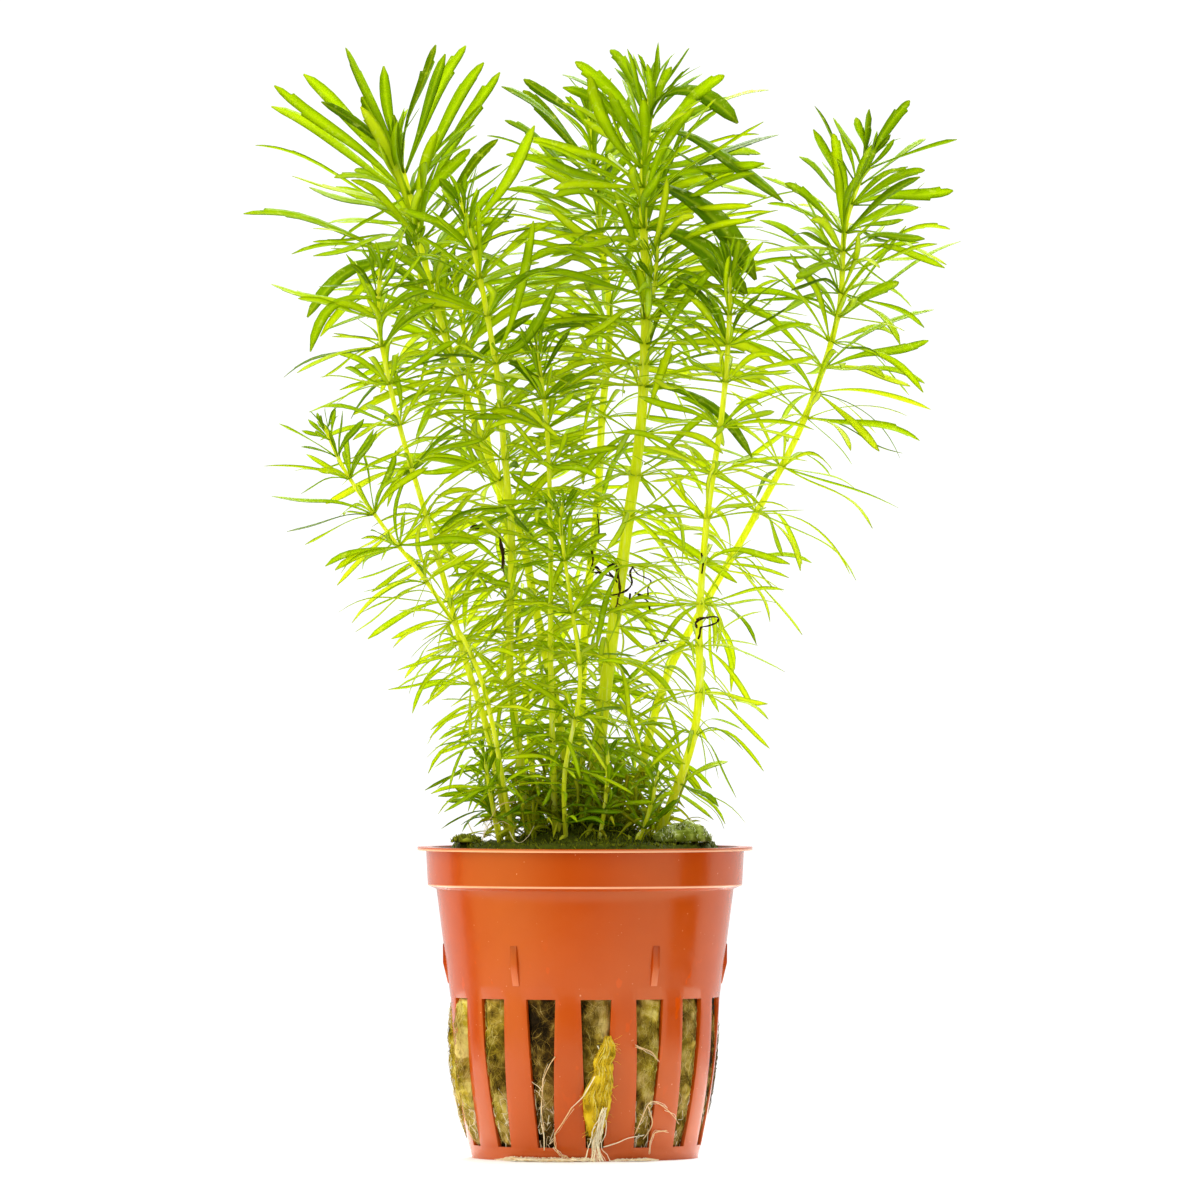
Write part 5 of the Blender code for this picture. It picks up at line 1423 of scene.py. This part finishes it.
def build_pot_live(material):
    heap = Heap()
    points, faces, pale = fine_pot()
    # Tone carries painted reflection of the floor on the base ring and lower side ribs; rib carries
    # painted highlights on the flange and collar edges
    heap.add(points, faces, [floor_reflection_tone(p) for p in points], rib=pale)
    for azimuth in LUG_AZIMUTHS:
        points, faces = lug_shape(azimuth)
        # Painted shade on the upper half of each lug, painted reflection of the floor on its lower
        # half
        tones = [graph(p[2], LUG_SHADE_Z, LUG_SHADE) for p in points]
        heap.add(points, faces, tones, rib=0.0)
    pot = heap.build('net_pot_live', [material])
    mesh = pot.data
    work = bmesh.new()
    work.from_mesh(mesh)
    bmesh.ops.recalc_face_normals(work, faces=work.faces)
    work.to_mesh(mesh)
    work.free()
    soften = pot.modifiers.new('edges', 'BEVEL')
    soften.width = 0.16 * MM
    soften.segments = 2
    soften.limit_method = 'ANGLE'
    soften.angle_limit = math.radians(38.0)
    soften.harden_normals = False
    apply_modifiers(pot)
    pot.data.set_sharp_from_angle(angle=math.radians(42.0))
    dress(pot, 'pot', 'net_pot')


def apply_modifiers(item):
    evaluated = item.evaluated_get(bpy.context.evaluated_depsgraph_get())
    result = bpy.data.meshes.new_from_object(evaluated)
    item.modifiers.clear()
    item.data = result


# Rock wool

def slot_place(azimuth):
    """Nearest slot of an azimuth and how far it lies from that slot's centre."""
    slot = round((azimuth - SLOT_PHASE) / SLOT_PITCH)
    return slot % SLOT_COUNT, azimuth - SLOT_PHASE - slot * SLOT_PITCH


def wool_radius(azimuth, z):
    """Radius of the wool's surface, with its swelling in each slot."""
    z_wall = min(z, WALL_TOP_Z)
    inside = wall_radius(z_wall) - WALL_THICKNESS - 0.25
    slot, off = slot_place(azimuth)
    half = slot_half_angle(z)
    if abs(off) >= half or not SLOT_FOOT_Z < z < SLOT_TOP_Z:
        return inside
    rise = math.sin(math.pi * (z - SLOT_FOOT_Z) / (SLOT_TOP_Z - SLOT_FOOT_Z)) ** 0.35
    swell = SLOT_BULGE[slot] + WOOL_PROUD[slot] + WALL_THICKNESS + 0.25
    return inside + swell * rise * (1.0 - (off / half) ** 2) ** 0.4


def wool_tone(azimuth, z):
    slot, off = slot_place(azimuth)
    # Painted shadow on the left side of each slot; slot 0 runs from painted shade on its left to
    # painted light on its right. The wool also darkens towards the foot of each slot.
    shade = 0.12 * (1.0 if off < -0.45 * slot_half_angle(z) else 0.0)
    if slot == 0:
        shade = graph(off, (-1.0, 2.5), (0.12, -0.2))
    foot = graph(z, (2.0, 5.5), (0.16, 0.0))
    return SLOT_TONE[slot] - shade - foot


def wool_gold(azimuth, z):
    slot, _ = slot_place(azimuth)
    return SLOT_GOLD[slot] * graph(z, (2.0, 6.0, 26.0), (0.1, 1.0, 0.8))


def build_wool(material):
    columns = 288
    levels = np.concatenate((np.linspace(PLUG_FOOT_Z, SLOT_TOP_Z + 0.6, 60),
                             (36.0, PLUG_TOP_Z)))
    rough = lumps(3, 14, 1.4)
    fine = lumps(4, 20, 5.0)
    rings = []
    tones = []
    golds = []
    for z in levels:
        for c in range(columns):
            azimuth = c * 360.0 / columns
            rings.append(polar(wool_radius(azimuth, z), azimuth, z))
            tones.append(wool_tone(azimuth, z))
            golds.append(wool_gold(azimuth, z))
    points = np.array(rings)
    out = points.copy()
    out[:, 2] = 0.0
    out /= np.linalg.norm(out, axis=1)[:, None]
    depth = 0.26 * rough(points) + 0.12 * fine(points) - 0.22
    points += depth[:, None] * out
    heap = Heap()
    heap.add(points, strand_faces(len(levels), columns), tones, rib=golds)
    add_wool_fibres(heap)
    heap.stand_for('wool_plug', 'wool', material)


def add_wool_fibres(heap):
    """Loose mineral fibres over the wool that shows in the slots."""
    rng = random.Random(17)
    for slot in range(SLOT_COUNT):
        centre = SLOT_PHASE + slot * SLOT_PITCH
        for _ in range(FIBRES_PER_SLOT):
            z = rng.uniform(SLOT_FOOT_Z + 0.6, SLOT_TOP_Z - 0.6)
            azimuth = centre + rng.uniform(-0.85, 0.85) * slot_half_angle(z)
            line = wool_fibre(rng, azimuth, z)
            tone = wool_tone(azimuth, z) + rng.uniform(-0.2, 0.36)
            gold = min(wool_gold(azimuth, z) * rng.uniform(0.4, 1.5), 1.0)
            heap.add(*strand(line, rng.uniform(0.02, 0.05)), tone, rib=gold)


def wool_fibre(rng, azimuth, z):
    """Line of one fibre that hugs the wool in its slot."""
    tilt = rng.gauss(0.0, 0.7)
    length = rng.uniform(1.2, 5.0)
    curl = rng.uniform(-1.2, 1.2)
    lift = rng.uniform(-0.05, 0.38)
    line = []
    for k in range(5):
        t = k / 4.0 - 0.5
        angle = tilt + curl * t
        level = min(max(z + length * t * math.cos(angle), SLOT_FOOT_Z + 0.2), SLOT_TOP_Z - 0.1)
        turned = azimuth + math.degrees(length * t * math.sin(angle) / 20.0)
        turned = in_slot(turned, level, 0.4)
        radius = wool_radius(turned, level) + lift * (1.0 - abs(1.6 * t))
        line.append(polar(radius, turned, level))
    return line


def in_slot(azimuth, z, margin):
    """Move an azimuth sideways until it lies inside its slot."""
    _, off = slot_place(azimuth)
    over = max(0.0, abs(off) - slot_half_angle(z) + margin)
    return azimuth - math.copysign(over, off)


def tuft_point(z, across, proud):
    """Point of the torn tuft at a height, from edge to edge and from its heart outwards."""
    x = graph(z, TUFT_Z, TUFT_X)
    half = graph(z, TUFT_Z, TUFT_HALF)
    off = graph(z, TUFT_Z, TUFT_OFF)
    deep = 0.62 * half
    x += half * across
    return (x, on_wall(x, z, off + deep * proud * math.sqrt(max(1.0 - across ** 2, 0.0)))[1], z)


def tuft_fibre(rng):
    top = TUFT_Z[-1] + 0.4 - 13.0 * rng.random() ** 1.2
    length = rng.uniform(2.0, 6.5)
    across = rng.uniform(-1.0, 1.0)
    drift = rng.uniform(-0.35, 0.35)
    proud = rng.uniform(0.75, 1.05)
    phase = rng.uniform(0.0, 6.0)
    line = []
    for k in range(6):
        t = k / 5.0
        z = max(top - length * t, TUFT_Z[0] - 0.5)
        place = across + drift * t + 0.10 * math.sin(5.0 * t + phase)
        line.append(tuft_point(z, max(min(place, 1.04), -1.04), proud + 0.1 * t))
    return line


def tuft_fluff(rng):
    """One short curled fibre that stands off the tuft."""
    z = rng.uniform(TUFT_Z[0], TUFT_Z[-1])
    line = [np.array(tuft_point(z, rng.uniform(-1.0, 1.0), 0.9))]
    step = np.array((rng.gauss(0.0, 0.14), -abs(rng.gauss(0.0, 0.08)), rng.gauss(-0.1, 0.2)))
    for _ in range(4):
        line.append(line[-1] + step)
        step = step + np.array([rng.gauss(0.0, 0.12) for _ in range(3)])
        step[1] = max(step[1], -0.1)
    return line


def build_tuft(material):
    rng = random.Random(29)
    heap = Heap()
    sides = 20
    levels = np.linspace(TUFT_Z[0], TUFT_Z[-1], 26)
    core = []
    for z in levels:
        for a in turns(sides):
            front = tuft_point(z, 0.93 * math.cos(a), 0.9)
            back = tuft_point(z, 0.93 * math.cos(a), -0.9)
            core.append(front if math.sin(a) < 0.0 else back)
    core = np.array(core)
    ragged = 0.34 * lumps(11, 12, 1.1)(core) + 0.22 * lumps(12, 14, 2.6)(core)
    core += ragged[:, None] * np.array((1.0, 0.8, 0.2))
    tones = list(0.26 + 0.22 * lumps(13, 12, 0.9)(core))
    heap.add(core, strand_faces(len(levels), sides), tones)
    for _ in range(TUFT_FIBRES):
        heap.add(*strand(tuft_fibre(rng), rng.uniform(0.03, 0.08), 4), rng.uniform(-0.1, 0.6))
    for _ in range(TUFT_FLUFF):
        heap.add(*strand(tuft_fluff(rng), rng.uniform(0.015, 0.03)), rng.uniform(0.0, 0.6))
    heap.stand_for('wool_tuft', 'yellow_wool', material)


# Moss

def crust_top(x, y):
    """Height of the moss, with its ridge at the rim and the mound at the stems."""
    radius = math.hypot(x, y)
    patchy = 0.5 + 0.5 * math.sin(0.9 * x + 0.5 * y) * math.sin(0.7 * y - 0.4 * x + 1.0)
    ridge = RIDGE_RISE * patchy * math.exp(-((radius - 22.0) / 2.6) ** 2)
    mound = 4.4 * math.exp(-((x / 11.0) ** 2 + ((y + 1.0) / 13.0) ** 2) * 1.3)
    edge = graph(radius, MOSS_EDGE, (0.0, 2.2))
    return CRUST_FLAT_Z + 0.1 + ridge + mound - edge


def build_moss(material):
    rows, columns = 34, 120
    rough = lumps(8, 16, 0.9)
    fine = lumps(9, 20, 2.6)
    points = []
    for r in range(rows):
        radius = CRUST_RIM_RADIUS * (1.0 - r / rows)
        for c in range(columns):
            x, y, _ = polar(radius, c * 360.0 / columns, 0.0)
            points.append((x, y, crust_top(x, y)))
    points = np.array(points)
    points[:, 2] += 0.30 * rough(points) + 0.22 * fine(points)
    foot = [polar(CRUST_RIM_RADIUS - 0.2, c * 360.0 / columns, CRUST_FOOT_Z)
            for c in range(columns)]
    heap = Heap()
    heap.add(np.vstack((foot, points)), strand_faces(rows + 1, columns), 0.1)
    rng = random.Random(31)
    for _ in range(MOSS_STRANDS):
        radius = CRUST_RIM_RADIUS * math.sqrt(rng.random())
        x, y, _ = polar(radius, rng.uniform(0.0, 360.0), 0.0)
        length = rng.uniform(0.3, 0.8) + 0.9 * math.exp(-(radius / 12.0) ** 2)
        add_moss_strand(heap, rng, x, y, crust_top(x, y), length, 0.0, 0.55)
    heap.stand_for('moss_crust', 'moss', material)


def add_moss_strand(heap, rng, x, y, z, length, tone_low, tone_high):
    """One short curved moss shoot."""
    turn = rng.uniform(0.0, 2.0 * math.pi)
    lean = rng.uniform(0.2, 1.1)
    line = []
    for k in range(4):
        t = k / 3.0
        away = length * math.sin(lean * t)
        line.append((x + away * math.cos(turn), y + away * math.sin(turn),
                     z - 0.25 + length * t * math.cos(0.6 * lean)))
    reach = math.hypot(line[-1][0], line[-1][1])
    if reach > CRUST_RIM_RADIUS:
        return
    girth = rng.uniform(0.05, 0.12)
    heap.add(*strand(line, [girth, girth * 1.2, girth * 0.8, 0.02]),
             rng.uniform(tone_low, tone_high))


def build_clump(name, centre, size, foot_z, material, slot, seed):
    """Rounded clump: a lumpy dome under many short strands."""
    rng = random.Random(seed)
    rough = lumps(seed, 14, 1.3)
    knobs = lumps(seed + 20, 18, 2.4)
    heap = Heap()
    rings = []
    for rise in (0.5 * math.pi * r / (CLUMP_RINGS - 1) for r in range(CLUMP_RINGS)):
        out = max(math.cos(rise), 0.02)
        rings += [(centre[0] + size[0] * out * math.cos(a), centre[1] + size[1] * out * math.sin(a),
                   foot_z + size[2] * math.sin(rise)) for a in turns(CLUMP_SIDES)]
    points = np.array(rings)
    grow = 1.0 + 0.08 * rough(points) + 0.07 * knobs(points)
    middle = np.array((*centre, foot_z))
    points = middle + (points - middle) * grow[:, None]
    heap.add(points, strand_faces(CLUMP_RINGS, CLUMP_SIDES), list(0.35 + 0.2 * knobs(points)))
    for _ in range(int(CLUMP_STRANDS * size[0])):
        a = rng.uniform(0.0, 2.0 * math.pi)
        out = math.sqrt(rng.random())
        lift = math.sqrt(max(1.0 - out * out, 0.0))
        x = centre[0] + size[0] * out * math.cos(a)
        y = centre[1] + size[1] * out * math.sin(a)
        add_moss_strand(heap, rng, x, y, foot_z + size[2] * lift * 0.95,
                        rng.uniform(0.2, 0.7), 0.1, 0.95)
    heap.stand_for(name, slot, material)


def foot_leaf(rng):
    """One short arched leaf among the feet of the shoots."""
    x = rng.gauss(1.0, 8.0)
    y = rng.gauss(-1.5, 6.5)
    z = crust_top(x, y) - 0.4 + 9.5 * rng.random() ** 1.7
    out = math.degrees(math.atan2(x, -y)) + rng.uniform(-75.0, 75.0)
    rise = rng.uniform(-0.3, 1.25)
    length = rng.uniform(3.0, 8.0)
    base = np.array((x, y, z))
    tip = base + length * np.array(polar(math.cos(rise), out, math.sin(rise)))
    tip[2] = max(tip[2] - rng.uniform(0.0, 2.0), CRUST_FLAT_Z + 1.4)
    middle = 0.5 * (base + tip) + np.array((0.0, 0.0, 0.13 * length))
    return dict(curve=np.array((base, middle, tip)), arch=middle,
                along=np.array((0.0, 0.0, 1.0)), width=rng.uniform(0.25, 0.6))


def build_tangle(material):
    """Crowded short leaves among the feet of the shoots."""
    rng = random.Random(37)
    heap = Heap()
    for _ in range(TANGLE_LEAVES):
        leaf = foot_leaf(rng)
        base, tip = leaf['curve'][0], leaf['curve'][2]
        if math.hypot(base[0], base[1]) > 17.0 or math.hypot(tip[0], tip[1]) > 21.0:
            continue
        if tip[0] > 11.0 and tip[1] < -2.0:
            continue
        heap.add_blade(blade(leaf, rng), rng.uniform(0.0, 0.85))
    dress(heap.build('foot_leaves', [material]), 'shoot')


# Roots

def curve_through(line, per_span=6):
    return spline([np.array(p) for p in line], per_span)


def rooty(heap, rng, line, radius, wander=0.12, tone=None):
    """A smooth root with a slight wander and taper."""
    path = curve_through(line)
    count = len(path)
    path = path + wander * np.stack([smooth_noise(rng, count) for _ in range(3)], axis=1)
    radii = radius * np.linspace(1.0, 0.55, count)
    heap.add(*strand(path, radii, 6), rng.uniform(0.3, 0.9) if tone is None else tone)


def wall_line(line, stand_off):
    return [on_wall(x, z, stand_off) for x, z in line]


def build_wall_roots(material):
    rng = random.Random(41)
    parts = (('root_rib_loop', RIB_LOOP, 0.75, 0.11), ('root_left_strand', LEFT_STRAND, 0.7, 0.1),
             ('root_right_loop', RIGHT_LOOP, 0.75, 0.1), ('root_right_arc', RIGHT_ARC, 0.75, 0.09),
             ('root_upper_strand', UPPER_STRAND, 0.7, 0.08))
    for name, line, stand_off, radius in parts:
        heap = Heap()
        rooty(heap, rng, wall_line(line, stand_off), radius, 0.05, 0.3)
        for _ in range(4):
            short = wall_line(line, stand_off - 0.25)
            first = rng.randrange(len(short) - 2)
            rooty(heap, rng, short[first:first + 3], 0.045, 0.35)
        heap.stand_for(name, 'root', material)


def build_fine_roots(material):
    """Hair roots that cross the slots and climb over the ribs."""
    rng = random.Random(43)
    heap = Heap()
    for line, radius in FINE_ROOTS:
        rooty(heap, rng, wall_line(line, 0.5), radius, 0.08)
    rooty(heap, rng, [on_wall(x, z, off) for x, z, off in LOOP_START], 0.12, 0.03)
    for _ in range(SLOT_ROOTS):
        slot = rng.choice((0, 1, 1, 2, 2, 3, 11, 12, 13, 14, 14, 5, 7, 8, 9))
        centre = SLOT_PHASE + slot * SLOT_PITCH
        z = rng.uniform(1.8, 9.0)
        azimuth = centre + rng.uniform(-5.0, 5.0)
        line = []
        for _ in range(4):
            level = min(max(z, 1.7), SLOT_TOP_Z - 1.0)
            azimuth = in_slot(azimuth, level, 0.4)
            line.append(polar(max(wool_radius(azimuth, level), wall_radius(level) - 0.9) + 0.15,
                              azimuth, level))
            azimuth += rng.uniform(-3.0, 3.0)
            z += rng.uniform(-2.0, 2.2)
        rooty(heap, rng, line, rng.uniform(0.04, 0.085), 0.12)
    dress(heap.build('fine_roots', [material]), 'root')


def build_tuft_roots(material):
    """White root bundle that falls from the front slot and frays on the floor."""
    rng = random.Random(47)
    heap = Heap()
    for _ in range(30):
        lean = rng.gauss(0.0, 1.0)
        deep = rng.random()
        top = rng.uniform(5.0, 9.6)
        line = []
        for k in range(8):
            z = 0.12 + (top - 0.12) * (1.0 - k / 7.0)
            fan = graph(z, (0.0, 2.0, 5.0, 9.0), (1.05, 0.5, 0.42, 0.22))
            x = graph(z, (0.0, 2.8, 5.5, 9.0), (1.8, 1.6, 2.3, 3.3)) + lean * fan
            off = graph(z, (0.0, 1.5, 4.0, 6.6, 9.0), (1.9, 1.3, 1.2, 2.0, 2.6))
            off += deep * graph(z, (0.0, 3.0), (1.6, 0.6))
            line.append((x, on_wall(x, z, off)[1], z))
        rooty(heap, rng, line, rng.uniform(0.05, 0.1), 0.22, rng.uniform(0.5, 1.0))
    heap.stand_for('root_tuft', 'root', material)


def build_mat(name, span_az, width, height, count, material, seed):
    """Fibrous film on the floor: many crossing hairs."""
    rng = random.Random(seed)
    heap = Heap()
    near = BASE_RADIUS + 0.55
    first, last = span_az
    for _ in range(count):
        t = rng.random()
        azimuth = first + (last - first) * t
        middle = 1.0 - abs(2.0 * t - 1.0) ** 3
        reach = near + 0.5 + width * middle * rng.uniform(0.3, 1.0)
        turn = rng.uniform(-7.0, 7.0)
        line = []
        for k in range(4):
            share = k / 3.0
            radius = near + (reach - near) * share
            level = FLOOR_LIFT + 0.08 + height * rng.uniform(0.15, 0.85) * (1.0 - 0.7 * share)
            line.append(polar(radius, azimuth + turn * share, level))
        rooty(heap, rng, line, rng.uniform(0.05, 0.11), 0.05)
    for _ in range(count // 3):
        azimuth = rng.uniform(first + 3.0, last - 6.0)
        middle = 1.0 - abs(2.0 * (azimuth - first) / (last - first) - 1.0) ** 3
        radius = near + 0.3 + width * middle * rng.uniform(0.1, 0.85)
        line = [polar(radius + rng.uniform(-0.3, 0.3), azimuth + 2.2 * k,
                      FLOOR_LIFT + 0.1 + 0.5 * height * rng.random()) for k in range(4)]
        rooty(heap, rng, line, rng.uniform(0.04, 0.09), 0.05)
    heap.stand_for(name, 'root', material)


def build_free_strands(root_made, dried_made):
    rng = random.Random(53)
    for name, (line, radius, kind) in FREE_STRANDS.items():
        heap = Heap()
        made = root_made if kind == 'root' else dried_made
        path = curve_through(line, 8)
        count = len(path)
        swell = 1.0 + 0.45 * smooth_noise(rng, count, 2)
        radii = radius * np.linspace(0.9, 0.4, count) * swell * (0.6 if kind != 'root' else 0.42)
        wander = np.stack([smooth_noise(rng, count, 3) for _ in range(3)], axis=1)
        heap.add(*strand(path + 0.12 * wander, radii, 8), rng.uniform(0.2, 0.5))
        for extra, girth in WIRY.get(name, ()):
            path = curve_through(extra, 8)
            width = 1.3 * girth * (1.0 + 0.45 * smooth_noise(rng, len(path), 3))
            heap.add(*strand(path, width, 5), rng.uniform(0.0, 0.25))
        heap.stand_for(name, kind, made)
    heap = Heap()
    for line, radius in AIR_ROOTS:
        rooty(heap, rng, line, radius, 0.25)
    dress(heap.build('air_roots', [root_made]), 'root')


# Studio

def build_floor():
    mesh = bpy.data.meshes.new('floor')
    points = [(0.0, 0.0, 0.0)]
    points += [(FLOOR_RADIUS * math.cos(a), FLOOR_RADIUS * math.sin(a), 0.0)
               for a in turns(FLOOR_SIDES)]
    faces = [(0, 1 + i, 1 + (i + 1) % FLOOR_SIDES) for i in range(FLOOR_SIDES)]
    mesh.from_pydata(points, [], faces)
    floor = bpy.data.objects.new('floor', mesh)
    bpy.context.scene.collection.objects.link(floor)
    made, tree, shader = new_material('floor')
    feed(tree, shader, FLOOR_LOOK)
    mesh.materials.append(made)


def build_world():
    """White studio whose reflections are banded: bright at the left, dim towards the front."""
    world = bpy.data.worlds.new('studio')
    bpy.context.scene.world = world
    world.use_nodes = True
    tree = world.node_tree
    place = add_node(tree, 'ShaderNodeTexCoord', {}).outputs['Generated']
    x, y, z = add_node(tree, 'ShaderNodeSeparateXYZ', {'Vector': place}).outputs
    turn = maths(tree, 'ARCTAN2', x, maths(tree, 'MULTIPLY', y, -1.0))
    share = span(tree, turn, -math.pi, math.pi)
    high = span(tree, z, *TOP_SPAN)
    sky = studio_sky(tree, tree.nodes['Background'], share, high, RAMP_TOP)
    mirror = add_node(tree, 'ShaderNodeBackground', {})
    mirrored = studio_sky(tree, mirror, share, high, BACK_GLARE)
    backdrop = add_node(tree, 'ShaderNodeBackground', {'Color': PLAIN_SHEEN, 'Strength': BACKDROP})
    kind = add_node(tree, 'ShaderNodeLightPath', {})
    lit = either_light(tree, kind.outputs['Is Glossy Ray'], sky, mirrored)
    seen = either_light(tree, kind.outputs['Is Camera Ray'], lit, backdrop.outputs[0])
    feed(tree, tree.nodes['World Output'], {'Surface': seen})


def studio_sky(tree, sky, share, high, back_limit):
    """Banded light by azimuth, with an even light from above and a limit on the back."""
    stops = []
    for azimuth, value in STUDIO_BAND:
        tint = LEFT_LIGHT if -BACK_FROM < azimuth < 0.0 else WHITE_LIGHT
        tint = RIGHT_LIGHT if 0.0 < azimuth < RIGHT_TO else tint
        level = min(value, back_limit) if abs(azimuth) > BACK_FROM else value
        colour = tuple(level / RAMP_TOP * part for part in tint) + (1.0,)
        stops.append(((azimuth + 180.0) / 360.0, colour))
    band = ramp(tree, share, stops)
    above = (TOP_LIGHT / RAMP_TOP,) * 3 + (1.0,)
    both = add_node(tree, 'ShaderNodeMix', {MIX_FACTOR: high, MIX_FIRST: band, MIX_SECOND: above},
                    data_type='RGBA')
    feed(tree, sky, {'Color': both.outputs[MIX_RESULT], 'Strength': RAMP_TOP * STUDIO_STRENGTH})
    return sky.outputs[0]


def either_light(tree, choice, first, second):
    inputs = {0: choice, 1: first, 2: second}
    return add_node(tree, 'ShaderNodeMixShader', inputs).outputs[0]


def add_lamp(name, place, target, size, power):
    lamp = bpy.data.lights.new(name, 'AREA')
    lamp.shape = 'RECTANGLE'
    lamp.size, lamp.size_y = size
    lamp.energy = power
    item = bpy.data.objects.new(name, lamp)
    item.location = place
    item.rotation_euler = (Vector(target) - Vector(place)).to_track_quat('-Z', 'Y').to_euler()
    bpy.context.scene.collection.objects.link(item)


def build_camera():
    """Level camera, far off, as in the photograph."""
    lens = bpy.data.cameras.new('camera')
    lens.sensor_width = SENSOR_WIDTH
    lens.lens = SENSOR_WIDTH * CAMERA_DISTANCE / (PICTURE_WIDTH * MM)
    lens.clip_start = 0.1
    lens.clip_end = 50.0
    camera = bpy.data.objects.new('camera', lens)
    camera.location = (PICTURE_CENTRE_X * MM, -CAMERA_DISTANCE, PICTURE_CENTRE_Z * MM)
    camera.rotation_euler = (math.radians(90.0), 0.0, 0.0)
    bpy.context.scene.collection.objects.link(camera)
    bpy.context.scene.camera = camera


def build_studio():
    build_floor()
    build_world()
    add_lamp('key_left', (-0.9, -0.9, 0.9), (0.0, 0.0, 0.1), (0.6, 0.9), KEY_POWER)
    add_lamp('back_top', (0.2, 0.9, 0.9), (0.0, 0.0, 0.12), (0.9, 0.5), BACK_POWER)
    build_camera()
    view = bpy.context.scene.view_settings
    view.view_transform = 'Standard'
    view.look = 'None'


def build_plant():
    leaf = grown_material('leaf', LEAF_TONES, LEAF_LOOK)
    foot = grown_material('foot_leaf', FOOT_TONES, LEAF_LOOK)
    stem = grown_material('stem', STEM_TONES, STEM_LOOK)
    yellow = grown_material('yellow_wool', YELLOW_TONES, fibre_look(0.6, 0.9, 0.25))
    moss = grown_material('moss', MOSS_TONES, fibre_look(0.9, 0.95))
    pale = grown_material('pale_moss', PALE_MOSS_TONES, fibre_look(1.6, 0.95))
    root = grown_material('root', ROOT_TONES, fibre_look(0.7, 0.6, 0.3))
    dried = grown_material('dried', DRIED_TONES, fibre_look(1.2, 0.8))
    build_pot_live(pot_material())
    build_wool(wool_material())
    build_tuft(yellow)
    build_moss(moss)
    build_clump('moss_clump_right', (16.2, -8.4), (4.5, 4.1, 3.0), 52.0, pale, 'pale_moss', 7)
    build_clump('moss_clump_left', (-19.4, -6.6), (2.5, 3.0, 1.2), 51.9, moss, 'moss', 8)
    plans = plan_plant()
    fill_whorls(plans)
    build_shoots(plans, [leaf, stem])
    build_tangle(foot)
    build_wall_roots(root)
    build_fine_roots(root)
    build_tuft_roots(root)
    build_mat('root_mat', (-41.0, 2.0), 4.4, 0.7, 260, root, 4)
    build_mat('root_fringe', (17.0, 32.0), 2.1, 0.45, 70, root, 5)
    build_free_strands(root, dried)


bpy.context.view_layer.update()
build_plant()
build_studio()
